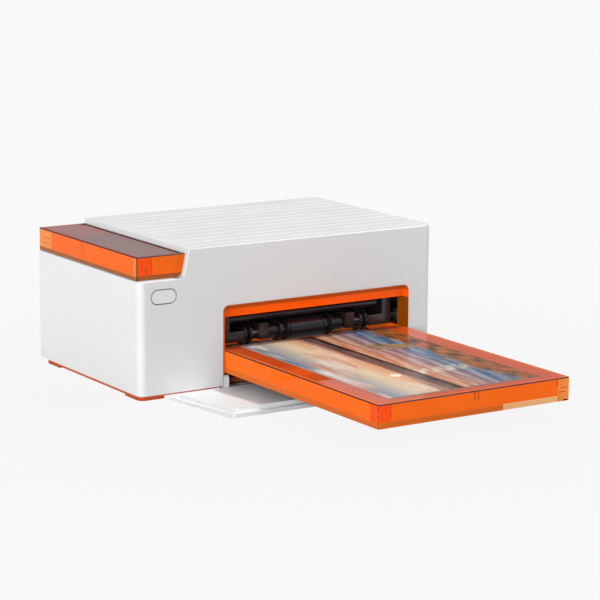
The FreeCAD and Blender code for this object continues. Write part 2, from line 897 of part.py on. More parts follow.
def paper_tray():
    body = block(tray_x0, tray_x1, -tray_out, tray_in, tray_bottom, tray_top)
    body = body.makeFillet(tray_r, edges_along(body, 2, ys=(-tray_out,)))
    room = block(tray_x0 + tray_wall, tray_x1 - tray_wall, -tray_out + tray_wall,
                 tray_in - tray_rear_wall, floor_top, tray_top + cut_over)
    room = room.makeFillet(tray_inner_r, edges_along(room, 2, ys=(-tray_out + tray_wall,)))
    low = block(tray_x0 - cut_over, tray_x1 + cut_over, tray_in - tray_rear_wall,
                tray_in + cut_over, tray_rear_z, tray_top + cut_over)
    body = body.cut([room, low])
    fences = []
    for x in (mid - fence_in - fence_t, mid + fence_in):
        fences.append(block(x, x + fence_t, -tray_out + tray_wall / 2, tray_in - tray_rear_wall / 2,
                            floor_top - tray_floor / 2, tray_rear_z))
    body = body.fuse(fences + tray_ribs())
    for xa, xb in lug_spans(1):
        body = body.cut(rod_x(xa, xb, lid_pin_y, lid_pin_z, lid_pin_r))
    return body


def lug_spans(part):
    """Spans along X of the lid's two lugs (0) or of the two pins through wall and lug (1)."""
    a = tray_x0 + tray_wall + lid_gap
    b = tray_x1 - tray_wall - lid_gap
    if part == 0:
        return ((a, a + lid_lug_w), (b - lid_lug_w, b))
    return ((tray_x0, a + lid_lug_w), (b - lid_lug_w, tray_x1))


def tray_lid():
    x0 = tray_x0 + tray_wall + lid_gap
    x1 = tray_x1 - tray_wall - lid_gap
    body = block(x0, x1, lid_y0, lid_pin_y, lid_under, tray_top)
    body = body.makeFillet(lid_corner_r, edges_along(body, 2, ys=(lid_y0,)))
    for xa, xb in lug_spans(0):
        body = body.fuse(rod_x(xa, xb, lid_pin_y, lid_pin_z, lid_lug_r))
        body = body.cut(rod_x(xa - cut_over, xb + cut_over, lid_pin_y, lid_pin_z,
                              lid_pin_r + run_gap))
    for x in (x0 + 2 * lid_gap, x1 - 2 * lid_gap - latch_w):
        y = lid_y0 + latch_in
        arm = block(x, x + latch_w, y, y + latch_l, lid_under - latch_drop, lid_under)
        hook = prism_x([(y + latch_l, lid_under - latch_drop), (y + latch_l + latch_hook,
                        lid_under - latch_drop), (y + latch_l, lid_under - latch_drop / 2)],
                       x, x + latch_w)
        body = body.fuse([arm, hook])
    return body


def lid_pins():
    return [rod_x(xa, xb, lid_pin_y, lid_pin_z, lid_pin_r) for xa, xb in lug_spans(1)]


def paper_stack():
    return rounded_z(mid - paper_w / 2, mid + paper_w / 2, paper_front, paper_front + sheet_l,
                     stack_bottom, stack_top, fence_gap)


def lift_plate():
    body = block(mid - paper_w / 2 + plate_inset, mid + paper_w / 2 - plate_inset,
                 paper_front + plate_inset, paper_front + sheet_l - plate_inset,
                 stack_bottom - plate_t, stack_bottom)
    return body.makeFillet(plate_inset, edges_along(body, 2))


def lift_springs():
    """Two bowed leaf springs between the tray's floor and the lift plate."""
    low = floor_top
    high = stack_bottom - plate_t
    made = []
    for x in (mid - paper_w / 4, mid + paper_w / 4 - spring_w):
        y0 = -spring_l
        y1 = 0
        ym = (y0 + y1) / 2
        outer = Part.Arc(FreeCAD.Vector(x, y0, low), FreeCAD.Vector(x, ym, high),
                         FreeCAD.Vector(x, y1, low)).toShape()
        inner = Part.Arc(FreeCAD.Vector(x, y1 - spring_t, low),
                         FreeCAD.Vector(x, ym, high - spring_t),
                         FreeCAD.Vector(x, y0 + spring_t, low)).toShape()
        ends = [Part.makeLine(FreeCAD.Vector(x, y1, low), FreeCAD.Vector(x, y1 - spring_t, low)),
                Part.makeLine(FreeCAD.Vector(x, y0 + spring_t, low), FreeCAD.Vector(x, y0, low))]
        wire = Part.Wire([outer, ends[0], inner, ends[1]])
        made.append(Part.Face(wire).extrude(FreeCAD.Vector(spring_w, 0, 0)))
    return made


def photo_print():
    y0 = -tray_out + print_from_front
    x0 = mid + print_offset - paper_w / 2
    return block(x0, x0 + paper_w, y0, y0 + paper_l, tray_top, tray_top + print_t)


def tray_guides():
    """Two rails on the base plate that carry the tray's rear end, hold it down and stop it."""
    made = []
    top = tray_top + guide_gap + guide_lip_t
    for side in (-1, 1):
        edge = tray_x0 if side < 0 else tray_x1
        wall_in = edge + side * guide_gap
        wall_out = wall_in + side * guide_wall
        under = edge - side * guide_under
        y1 = tray_in + guide_stop_gap + guide_stop
        foot = block(min(wall_out, under), max(wall_out, under), guide_y0, y1,
                     base_top, tray_bottom - guide_gap)
        wall = block(min(wall_in, wall_out), max(wall_in, wall_out), guide_y0, y1, base_top, top)
        lip_in = edge - side * guide_lip
        lip = block(min(lip_in, wall_out), max(lip_in, wall_out), guide_lip_y, y1,
                    top - guide_lip_t, top)
        stop = block(min(wall_out, under), max(wall_out, under), y1 - guide_stop, y1, base_top, top)
        made.append(foot.fuse([wall, lip, stop]))
    return made


def guide_discs():
    made = []
    for side in (-1, 1):
        for at, pitch in ((disc_inner_at, disc_inner_pitch), (disc_outer_at, disc_outer_pitch)):
            a = mid + side * at
            b = mid + side * (at + pitch + disc_t)
            x0, x1 = min(a, b), max(a, b)
            body = prism_x(hexagon(feed_y, feed_z, disc_hub_r), x0, x1)
            body = body.fuse([rod_x(x0, x0 + disc_t, feed_y, feed_z, disc_r),
                              rod_x(x1 - disc_t, x1, feed_y, feed_z, disc_r)])
            made.append(body.cut(rod_x(x0 - cut_over, x1 + cut_over, feed_y, feed_z, feed_shaft_r)))
    return made


def tube_x(x0, x1, y, z, outer, inner):
    return rod_x(x0, x1, y, z, outer).cut(rod_x(x0 - cut_over, x1 + cut_over, y, z, inner))


def shaft_sleeves():
    made = []
    for side in (-1, 1):
        a = mid + side * sleeve_at
        b = mid + side * (sleeve_at + sleeve_l)
        made.append(tube_x(min(a, b), max(a, b), feed_y, feed_z, sleeve_r, feed_shaft_r))
    return made


def feed_guide():
    """Dark trough behind the liner: a panel with a window and a row opening, sides and a back."""
    body = block(mid - panel_half, mid + panel_half, panel_y, panel_y + panel_t,
                 panel_bottom, panel_top)
    back = block(mid - panel_half, mid + panel_half, panel_back, panel_back + panel_t,
                 panel_bottom, panel_top)
    print_slot = block(mid - print_slot_half, mid + print_slot_half, panel_back - cut_over,
                       panel_back + panel_t + cut_over, print_slot_low, print_slot_high)
    body = body.fuse(back.cut(print_slot))
    for side in (-1, 1):
        a = mid + side * panel_half
        b = a - side * panel_t
        body = body.fuse(block(min(a, b), max(a, b), panel_y, panel_back, panel_bottom, panel_top))
    window = block(mid - window_half, mid + window_half, panel_y - cut_over,
                   panel_y + panel_t + cut_over, window_bottom, window_top)
    cuts = [window]
    row_half = disc_outer_at + disc_outer_pitch + disc_t + notch_slack
    cuts.append(block(mid - row_half, mid + row_half, panel_y - cut_over,
                      panel_y + panel_t + cut_over, panel_bottom - cut_over,
                      window_bottom + cut_over))
    shaft_cut = rod_x(mid - panel_half - cut_over, mid + panel_half + cut_over, feed_y, feed_z,
                      feed_shaft_r + notch_slack)
    exit_cut = rod_x(mid - panel_half - cut_over, mid + panel_half + cut_over, feed_y, exit_z,
                     exit_shaft_r + notch_slack)
    return body.cut(cuts + [shaft_cut, exit_cut])


def shaft_brackets():
    made = []
    for side in (-1, 1):
        a = mid + side * shaft_bracket_at
        b = a + side * shaft_bracket_w
        body = block(min(a, b), max(a, b), panel_y, panel_back, panel_bottom, shaft_bracket_top)
        slot = block(min(a, b) - cut_over, max(a, b) + cut_over, feed_y + feed_shaft_r,
                     panel_back + cut_over, print_slot_low, shaft_bracket_top + cut_over)
        body = body.cut(slot)
        made.append(body.cut(rod_x(min(a, b) - cut_over, max(a, b) + cut_over, feed_y, feed_z,
                                   feed_shaft_r + run_gap)))
    return made


def frame_holes():
    """Every bush in the side frames: place, shaft radius and which frames have it."""
    both = (-1, 1)
    return [(feed_y, feed_z, feed_shaft_r, both), (platen_y, platen_z, platen_shaft_r, both),
            (takeup_y, takeup_z, spool_bore_r, (-1,)), (supply_y, supply_z, spool_bore_r, (-1,))]


def side_frame(side):
    x_in = frame_in_left if side < 0 else frame_in_right
    x_out = frame_out_left if side < 0 else frame_out_right
    x0, x1 = min(x_in, x_out), max(x_in, x_out)
    body = prism_x([(frame_y0, base_top), (frame_y1, base_top), (frame_y1, frame_top - frame_chamfer),
                    (frame_y1 - frame_chamfer, frame_top), (frame_y0 + frame_chamfer, frame_top),
                    (frame_y0, frame_top - frame_chamfer)], x0, x1)
    tabs = []
    for y in (frame_tab_front, frame_tab_rear):
        tab_end = x_out + side * frame_tab_w
        tabs.append(block(min(x_out, tab_end), max(x_out, tab_end), y, y + frame_tab_l,
                          base_top, base_top + frame_t))
    body = body.fuse(tabs)
    cuts = []
    for y, z, r, sides in frame_holes():
        if side in sides:
            cuts.append(rod_x(x0 - cut_over, x1 + cut_over, y, z, r + run_gap + bush_wall))
    for y, z in tie_places + ((head_pivot_y, head_pivot_z),):
        cuts.append(rod_x(x0 - cut_over, x1 + cut_over, y, z, tie_r))
    cuts.append(rod_x(x0 - cut_over, x1 + cut_over, feed_y, exit_z, exit_shaft_r + run_gap))
    if side < 0:
        cuts.append(rod_x(x0 - cut_over, x1 + cut_over, idler_y, idler_z, stud_r))
    else:
        grow = shell_r + 2 * notch_slack
        cuts.append(block(x0 - cut_over, x1 + cut_over, takeup_y - grow, supply_y + grow,
                          takeup_z - grow, takeup_z + grow))
    cuts.append(block(x0 - cut_over, x1 + cut_over, frame_y0 - cut_over,
                      tray_in + 2 * guide_stop, base_top - cut_over, tray_bottom - guide_gap))
    return body.cut(cuts)


def frame_bushes():
    made = []
    for y, z, r, sides in frame_holes():
        for side in sides:
            x_in = frame_in_left if side < 0 else frame_in_right
            far = x_in - side * (bush_l - frame_t)
            x_out = frame_out_left if side < 0 else frame_out_right
            made.append(tube_x(min(far, x_out), max(far, x_out), y, z, r + run_gap + bush_wall,
                               r + run_gap))
    return made


def tie_rods():
    """Rods between the side frames; the last one is the pivot of the head bracket."""
    places = tie_places + ((head_pivot_y, head_pivot_z),)
    return [rod_x(frame_out_left, frame_out_right, y, z, tie_r) for y, z in places]


def frame_screws():
    made = []
    for side in (-1, 1):
        x = (frame_out_left if side < 0 else frame_out_right) + side * frame_tab_w / 2
        for y in (frame_tab_front, frame_tab_rear):
            seat = base_top + frame_t
            made.append(rod_z(x, y + frame_tab_l / 2, seat, seat + screw_head_t, screw_head_r))
    return made


def involute_point(base_r, r, side, half_angle):
    """A point of a tooth's flank at radius r, as an angle from the tooth's middle."""
    spread = math.acos(min(1.0, base_r / r))
    return side * (half_angle - (math.tan(spread) - spread))


def gear_outline(teeth, phase):
    pitch_r = gear_module * teeth / 2
    base_r = pitch_r * math.cos(math.radians(pressure_angle))
    tip_r = pitch_r + gear_tip_share * gear_module
    root_r = pitch_r - gear_root_share * gear_module
    angle = math.radians(pressure_angle)
    half = math.pi / (2 * teeth) - gear_backlash / (2 * pitch_r) + math.tan(angle) - angle
    start_r = max(base_r, root_r)
    radii = [start_r, (start_r + tip_r) / 2, tip_r]
    points = []
    for number in range(teeth):
        centre = phase + 2 * math.pi * number / teeth
        low = involute_point(base_r, start_r, 1, half)
        points.append((centre - low, root_r))
        for r in radii:
            points.append((centre + involute_point(base_r, r, -1, half), r))
        for r in reversed(radii):
            points.append((centre + involute_point(base_r, r, 1, half), r))
        points.append((centre + low, root_r))
    return points


def gear(y, z, teeth, phase, bore_r, spokes):
    """A spur gear of the drive, with a thinner web on its outer side."""
    outline = [(y + r * math.cos(a), z + r * math.sin(a)) for a, r in gear_outline(teeth, phase)]
    body = prism_x(outline, gear_x0, gear_x1)
    if spokes:
        web_r = gear_module * teeth / 2 * web_r_share
        body = body.cut(tube_x(gear_x0 - cut_over, gear_x0 + web_cut, y, z, web_r, gear_hub_r))
    return body.cut(rod_x(gear_x0 - cut_over, gear_x1 + cut_over, y, z, bore_r))


def mesh_phase(angle, teeth_a, phase_a, teeth_b):
    """Phase of a gear whose centre lies at an angle from another, so that they mesh."""
    turn = math.radians(angle)
    along = (phase_a - turn) * teeth_a / (2 * math.pi)
    return turn + math.pi - (along + 0.5) * 2 * math.pi / teeth_b


feed_phase = 0.0
idler_phase = mesh_phase(idler_angle, feed_teeth, feed_phase, idler_teeth)
platen_phase = mesh_phase(platen_angle, idler_teeth, idler_phase, platen_teeth)
pinion_phase = mesh_phase(pinion_angle, feed_teeth, feed_phase, pinion_teeth)
takeup_phase = mesh_phase(takeup_angle, pinion_teeth, pinion_phase, takeup_teeth)


def motor_plate():
    low_y = min(y for y, z in post_places) - motor_plate_margin
    high_y = max(y for y, z in post_places) + motor_plate_margin
    low_z = min(z for y, z in post_places) - motor_plate_margin
    high_z = max(z for y, z in post_places) + motor_plate_margin
    body = prism_x([(low_y, high_z), (low_y, idler_z), (feed_y, low_z), (high_y, low_z),
                    (high_y, idler_z + motor_plate_margin), (pinion_y + motor_r, high_z)],
                   motor_plate_x0, motor_plate_x1)
    x0, x1 = motor_plate_x0 - cut_over, motor_plate_x1 + cut_over
    cuts = [rod_x(x0, x1, pinion_y, pinion_z, motor_neck_r), rod_x(x0, x1, idler_y, idler_z, stud_r)]
    for y, z in motor_screw_places():
        cuts.append(rod_x(x0, x1, y, z, motor_shaft_r))
    return body.cut(cuts)


def motor_screw_places():
    return [(pinion_y + side * motor_screw_at, pinion_z) for side in (-1, 1)]


def idler_stud():
    return rod_x(motor_plate_x0, frame_in_left, idler_y, idler_z, stud_r)


def motor_posts():
    return [prism_x(hexagon(y, z, post_r), motor_plate_x1, frame_out_left) for y, z in post_places]


def feed_motor():
    x1 = motor_plate_x0
    can = rod_x(x1 - motor_l, x1, pinion_y, pinion_z, motor_r)
    rim = [edge for edge in can.Edges if abs(edge.BoundBox.XMin - x1 + motor_l) < run_gap
           and edge.BoundBox.XLength < run_gap]
    can = can.makeChamfer(motor_edge, rim)
    neck = rod_x(x1, motor_plate_x1, pinion_y, pinion_z, motor_neck_r)
    cap = rod_x(x1 - motor_l - case_wall, x1 - motor_l, pinion_y, pinion_z, motor_neck_r)
    body = can.fuse([neck, cap])
    bore = rod_x(x1 - motor_l / 2, motor_plate_x1 + cut_over, pinion_y, pinion_z,
                 motor_shaft_r + run_gap)
    holes = [rod_x(x1 - screw_len / 2, x1 + cut_over, y, z, motor_shaft_r)
             for y, z in motor_screw_places()]
    return body.cut([bore] + holes)


def motor_screws():
    made = []
    for y, z in motor_screw_places():
        head = rod_x(motor_plate_x1, motor_plate_x1 + motor_plate_gap / 2, y, z, screw_r + film_t)
        shank = prism_x(hexagon(y, z, motor_shaft_r), motor_plate_x0 - screw_len / 2, motor_plate_x1)
        made.append(head.fuse(shank))
    return made


def motor_shaft():
    return rod_x(motor_plate_x0 - motor_l / 2, gear_x1, pinion_y, pinion_z, motor_shaft_r)


def long_shaft(y, z, r):
    return rod_x(gear_x0, frame_out_right + shaft_end, y, z, r)


def cartridge_shell():
    """Two tubular housings joined by end plates, open along the side that faces the platen."""
    x0, x1 = mid - shell_half, mid + shell_half
    bodies = []
    for y, z, side in ((takeup_y, takeup_z, 1), (supply_y, supply_z, -1)):
        tube = tube_x(x0, x1, y, z, shell_r, shell_r - shell_wall)
        near_y, far_y = y + side * mouth_from, y + side * (shell_r + cut_over)
        mouth = block(x0 + shell_end_t, x1 - shell_end_t, min(near_y, far_y), max(near_y, far_y),
                      z - 2 * shell_r, z - mouth_up)
        bodies.append(tube.cut(mouth))
        for xa in (x0, x1 - shell_end_t):
            bodies.append(rod_x(xa, xa + shell_end_t, y, z, shell_r))
    for xa in (x0, x1 - shell_end_t):
        bodies.append(block(xa, xa + shell_end_t, takeup_y, supply_y,
                            takeup_z - shell_r, takeup_z - shell_r / 2))
    body = bodies[0].fuse(bodies[1:])
    for y, z in ((takeup_y, takeup_z), (supply_y, supply_z)):
        body = body.cut(rod_x(x0 - cut_over, x1 + cut_over, y, z, spool_core_r + run_gap))
    return body


def ribbon_spool(y, z):
    """A core between the cartridge's end plates, bored for its drive shaft."""
    body = rod_x(mid - shell_half, mid + shell_half, y, z, spool_core_r)
    return body.cut(rod_x(mid - shell_half - cut_over, mid - shell_half + spool_shaft_in, y, z,
                          spool_bore_r))


def spool_drive(y, z, start):
    return rod_x(start, mid - shell_half + spool_shaft_in, y, z, spool_bore_r)


def ribbon_roll(y, z, r):
    return tube_x(mid - roll_half, mid + roll_half, y, z, r, spool_core_r)


def ribbon_film():
    """The film between the two rolls, drawn down under the print head."""
    level = platen_z + platen_r + film_gap
    a = takeup_y + takeup_roll_r + film_gap
    b = supply_y - supply_roll_r - film_gap
    low_a = platen_y - head_w / 2 - film_gap
    low_b = platen_y + head_w / 2 + film_gap
    t = film_t
    points = [(a, takeup_z), (low_a, level), (low_b, level), (b, supply_z),
              (b - t, supply_z), (low_b - t, level + t), (low_a + t, level + t), (a + t, takeup_z)]
    return prism_x(points, mid - film_half, mid + film_half)


def head_bottom():
    return platen_z + platen_r + film_gap + film_t + film_gap


def thermal_head():
    z0 = head_bottom()
    body = block(mid - head_half, mid + head_half, platen_y - head_w / 2, platen_y + head_w / 2,
                 z0, z0 + head_t)
    edge = edges_along(body, 0, ys=(platen_y - head_w / 2,), zs=(z0,))
    return body.makeChamfer(film_gap, edge)


def head_bracket():
    """Heat sink that carries the head between the ribbon housings and pivots at the rear."""
    z0 = head_bottom() + head_t
    half = head_half
    web = block(mid - half, mid + half, platen_y - head_web_t / 2, platen_y + head_web_t / 2,
                z0, head_arm_z)
    arm = block(mid - half, mid + half, platen_y - head_web_t / 2, head_pivot_y,
                head_arm_z, head_arm_z + head_arm_t)
    body = web.fuse(arm)
    for number in range(head_fin_count):
        y = platen_y + head_fin_pitch * (number + 1)
        body = body.fuse(block(mid - half, mid + half, y, y + head_fin_t,
                               head_arm_z + head_arm_t, head_arm_z + head_arm_t + head_fin_h))
    for xa in (mid - half, mid + half - head_ear_t):
        ear = rod_x(xa, xa + head_ear_t, head_pivot_y, head_pivot_z, head_ear_r)
        ear = ear.fuse(block(xa, xa + head_ear_t, head_pivot_y - head_ear_r, head_pivot_y + head_ear_r,
                             head_pivot_z, head_arm_z + head_arm_t))
        body = body.fuse(ear)
    return body.cut(rod_x(mid - half - cut_over, mid + half + cut_over, head_pivot_y, head_pivot_z,
                          tie_r + run_gap))


def paper_ramp():
    """Curved guide from the tray's rear end up to the platen."""
    y0 = tray_in + guide_stop_gap + guide_stop + ramp_t
    y1 = platen_y - platen_r - ramp_t
    z0 = tray_rear_z - ramp_t
    z1 = platen_z + platen_r - ramp_t
    ym = (y0 + y1) / 2
    zm = z0 + (z1 - z0) / 3
    t = ramp_t
    body = prism_x([(y0, z0), (ym, zm), (y1, z1), (y1, z1 - t), (ym + t, zm - t), (y0, z0 - t)],
                   mid - ramp_half, mid + ramp_half)
    feet = []
    for side in (-1, 1):
        a = mid + side * ramp_half
        b = a - side * 2 * ramp_t
        feet.append(prism_x([(ym - t, base_top), (ym + 2 * t, base_top), (ym + 2 * t, zm - t / 2),
                             (ym - t, zm - t)], min(a, b), max(a, b)))
    return body.fuse(feet)


def rear_guide():
    """Shelf that leads the sheet out to the slot in the rear cover and back."""
    y0 = platen_y + platen_r + 2 * ramp_t
    y1 = case_d - case_wall - 2 * ramp_t
    z1 = slot_z - film_gap
    body = block(mid - ramp_half, mid + ramp_half, y0, y1, z1 - ramp_t, z1)
    for side in (-1, 1):
        a = mid + side * ramp_half
        b = a - side * 2 * ramp_t
        body = body.fuse(block(min(a, b), max(a, b), y0 + ramp_t, y1 - ramp_t, base_top, z1))
    y, z = tie_places[1]
    return body.cut(rod_x(mid - ramp_half - cut_over, mid + ramp_half + cut_over, y, z,
                          tie_r + run_gap))


def main_board():
    x0 = board_x0
    body = block(x0, x0 + board_w, board_y0, board_y0 + board_l, board_z, board_z + board_t)
    chip_x = x0 + (board_w - chip_side) / 2
    chip_y = board_y0 + chip_y_share * board_l
    parts = [block(chip_x, chip_x + chip_side, chip_y, chip_y + chip_side, board_z + board_t,
                   board_z + board_t + chip_t)]
    parts.append(rod_z(x0 + cap_x_share * board_w, board_y0 + cap_y_share * board_l,
                       board_z + board_t, board_z + board_t + cap_h, cap_r))
    return body.fuse(parts)


def standoff_places():
    x0 = board_x0
    return [(x, y) for x in (x0 + standoff_in, x0 + board_w - standoff_in)
            for y in (board_y0 + standoff_in, board_y0 + board_l - 3 * standoff_in)]


def board_standoffs():
    return [prism_z(hexagon(x, y, standoff_r), base_top, board_z) for x, y in standoff_places()]


def power_jack():
    x = board_x0 + jack_in
    low = board_z + board_t
    y1 = case_d - case_wall + socket_gap
    body = block(x - jack_w / 2, x + jack_w / 2, y1 - jack_l, y1, low, low + jack_h)
    z = low + jack_h / 2
    body = body.cut(rod_y(x, y1 - jack_depth, y1 + cut_over, z, jack_r))
    return body.fuse(rod_y(x, y1 - jack_depth - jack_pin_r, y1 - jack_pin_r, z, jack_pin_r))


def usb_port():
    x = board_x0 + usb_in
    low = board_z + board_t
    y1 = case_d - case_wall + socket_gap
    body = block(x - usb_w / 2, x + usb_w / 2, y1 - usb_l, y1, low, low + usb_h)
    body = body.makeFillet(usb_h / 3, edges_along(body, 1))
    w = usb_wall
    room = block(x - usb_w / 2 + w, x + usb_w / 2 - w, y1 - usb_l + 2 * w, y1 + cut_over,
                 low + w, low + usb_h - w)
    z = low + usb_h / 2
    tongue = block(x - usb_w / 4, x + usb_w / 4, y1 - usb_l + w, y1 - 2 * w, z - usb_tongue_t / 2,
                   z + usb_tongue_t / 2)
    return body.cut(room).fuse(tongue)


def power_button():
    x0 = left + button_from_left
    x1 = x0 + button_w
    cap = stadium_y(x0, x1, button_front, button_t, button_z, button_h)
    grow = button_flange
    y0 = case_wall + button_flange_gap
    flange = stadium_y(x0 - grow, x1 + grow, y0, y0 + button_flange_t, button_z, button_h + 2 * grow)
    stem = rod_y((x0 + x1) / 2, y0, button_stem_end, button_z, button_stem_r)
    return cap.fuse([flange, stem])


def button_board():
    x = left + button_from_left + button_w / 2
    return block(x - button_board_w / 2, x + button_board_w / 2, switch_back,
                 switch_back + button_board_t, button_z - button_board_h / 2,
                 button_z + button_board_h / 2)


def tact_switch():
    x = left + button_from_left + button_w / 2
    body = block(x - switch_side / 2, x + switch_side / 2, switch_front, switch_back,
                 button_z - switch_side / 2, button_z + switch_side / 2)
    return body.cut(rod_y(x, switch_front - cut_over, switch_front + switch_pocket, button_z,
                          button_stem_r + switch_slack))


def box_outer(inset, z0, z1):
    """Outline of the storage box, which follows the recess on its right."""
    xb = left + recess_bottom_w - 2 * box_gap - inset + recess_slope * (z0 - recess_floor)
    xt = xb + recess_slope * (z1 - z0)
    x0 = left + box_gap + inset
    body = prism_y([(x0, z0), (xb, z0), (xt, z1), (x0, z1)], box_end_in + inset,
                   case_d - box_end_in - inset)
    return body, xb, z0


def storage_box():
    body, xb, z0 = box_outer(0, recess_floor + box_gap, box_top)
    body = body.makeFillet(recess_r, edges_along(body, 1, xs=(xb,), zs=(z0,)))
    upright = edges_along(body, 2, xs=(left + box_gap,))
    body = body.makeFillet(box_edge_r, upright)
    room, xb, z0 = box_outer(box_wall, recess_floor + box_gap + box_floor, box_top + cut_over)
    room = room.makeFillet(recess_r - box_wall, edges_along(room, 1, xs=(xb,), zs=(z0,)))
    return body.cut([room, storage_pin()])


def storage_lid():
    gap = box_lid_gap
    x0 = left + box_gap + box_wall + gap
    x1 = box_pin_x + box_lid_edge
    y0 = box_end_in + box_wall + gap
    y1 = case_d - y0
    body = block(x0, x1, y0, y1, box_top - box_lid_t, box_top)
    barrel = rod_y(box_pin_x, y0, y1, box_pin_z, box_barrel_r)
    body = body.fuse(barrel)
    return body.cut(rod_y(box_pin_x, y0 - cut_over, y1 + cut_over, box_pin_z,
                          box_pin_r + run_gap))


def storage_pin():
    """Pin of the lid, which ends half-way through the box's front and rear walls."""
    end = box_end_in + box_wall / 2
    return rod_y(box_pin_x, end, case_d - end, box_pin_z, box_pin_r)


def ribbon_door():
    x1 = right
    x0 = right - door_t
    gap = door_gap
    z_pin = door_z0 + gap + door_t / 2
    y0, y1 = door_y0 + gap, door_y1 - gap
    body = block(x0, x1, y0, y1, z_pin, door_z1 - gap)
    body = body.makeFillet(door_r, edges_along(body, 0, zs=(door_z1 - gap,)))
    body = body.fuse(rod_y(right - door_t / 2, y0, y1, z_pin, door_t / 2))
    y_mid = (y0 + y1) / 2
    pull = block(x1 - door_pull_depth, x1 + cut_over, y_mid - door_pull_w / 2,
                 y_mid + door_pull_w / 2, door_z1 - gap - door_pull_h, door_z1 + cut_over)
    body = body.cut(pull)
    for number in range(door_rib_count):
        y = y0 + (number + 1) * (y1 - y0) / (door_rib_count + 1)
        body = body.fuse(block(x0 - door_rib_h, x0, y, y + door_rib_t, z_pin + door_pull_h,
                               door_z1 - door_pull_h))
    return body.cut(door_pin_bore())


def door_pin_bore():
    return rod_y(right - door_t / 2, door_y0 - door_pin_grip, door_y1 + door_pin_grip,
                 door_z0 + door_gap + door_t / 2, door_pin_r + run_gap)


def door_pin():
    return rod_y(right - door_t / 2, door_y0 - door_pin_grip, door_y1 + door_pin_grip,
                 door_z0 + door_gap + door_t / 2, door_pin_r)


os.makedirs("parts", exist_ok=True)

save("main_casing", main_casing())
save("rear_cover", rear_cover())
save("rear_screws", *rear_screws())
save("base_plate", base_plate())
save("left_foot_rail", foot_rail(-1))
save("right_foot_rail", foot_rail(1))
save("case_screws", *case_screws())
save("front_cover", front_cover())
save("cover_brackets", *cover_brackets())
save("cover_hinge_pins", cover_pin(-1), cover_pin(1))
save("slot_frame", slot_frame())
save("paper_tray", paper_tray())
save("tray_lid", tray_lid())
save("lid_hinge_pins", *lid_pins())
save("paper_stack", paper_stack())
save("lift_plate", lift_plate())
save("lift_springs", *lift_springs())
save("photo_print", photo_print())
save("tray_guides", *tray_guides())
save("feed_shaft", long_shaft(feed_y, feed_z, feed_shaft_r))
save("feed_roller", tube_x(mid - feed_half, mid + feed_half, feed_y, feed_z, feed_r, feed_shaft_r))
save("guide_discs", *guide_discs())
save("shaft_sleeves", *shaft_sleeves())
save("feed_gear", gear(feed_y, feed_z, feed_teeth, feed_phase, feed_shaft_r, True))
save("exit_roller", tube_x(mid - exit_half, mid + exit_half, feed_y, exit_z, exit_r, exit_shaft_r),
     rod_x(frame_out_left - shaft_end / 2, frame_out_right + shaft_end, feed_y, exit_z, exit_shaft_r))
save("feed_guide", feed_guide())
save("shaft_brackets", *shaft_brackets())
save("left_side_frame", side_frame(-1))
save("right_side_frame", side_frame(1))
save("frame_bushes", *frame_bushes())
save("tie_rods", *tie_rods())
save("frame_screws", *frame_screws())
save("idler_gear", gear(idler_y, idler_z, idler_teeth, idler_phase, stud_r + run_gap, True))
save("platen_roller", tube_x(mid - platen_half, mid + platen_half, platen_y, platen_z, platen_r,
                             platen_shaft_r))
save("platen_shaft", long_shaft(platen_y, platen_z, platen_shaft_r))
save("platen_gear", gear(platen_y, platen_z, platen_teeth, platen_phase, platen_shaft_r, True))
save("motor_plate", motor_plate(), *motor_posts(), idler_stud())
save("feed_motor", feed_motor())
save("motor_screws", *motor_screws())
save("motor_pinion", gear(pinion_y, pinion_z, pinion_teeth, pinion_phase, motor_shaft_r, False),
     motor_shaft())
save("cartridge_shell", cartridge_shell())
save("takeup_spool", ribbon_spool(takeup_y, takeup_z),
     spool_drive(takeup_y, takeup_z, gear_x0))
save("takeup_gear", gear(takeup_y, takeup_z, takeup_teeth, takeup_phase, spool_bore_r, True))
save("supply_spool", ribbon_spool(supply_y, supply_z),
     spool_drive(supply_y, supply_z, frame_out_left - shaft_end / 2))
save("takeup_roll", ribbon_roll(takeup_y, takeup_z, takeup_roll_r))
save("supply_roll", ribbon_roll(supply_y, supply_z, supply_roll_r))
save("ribbon_film", ribbon_film())
save("thermal_head", thermal_head())
save("head_bracket", head_bracket())
save("paper_ramp", paper_ramp())
save("rear_guide", rear_guide())
save("main_board", main_board(), *board_standoffs())
save("rear_sockets", power_jack(), usb_port())
save("power_button", power_button())
save("button_board", button_board(), tact_switch())
save("storage_box", storage_box())
save("storage_lid", storage_lid())
save("storage_hinge_pin", storage_pin())
save("ribbon_door", ribbon_door())
save("door_hinge_pin", door_pin())
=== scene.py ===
import json
import math

import bmesh
import bpy
import numpy as np
from mathutils import Matrix, Vector

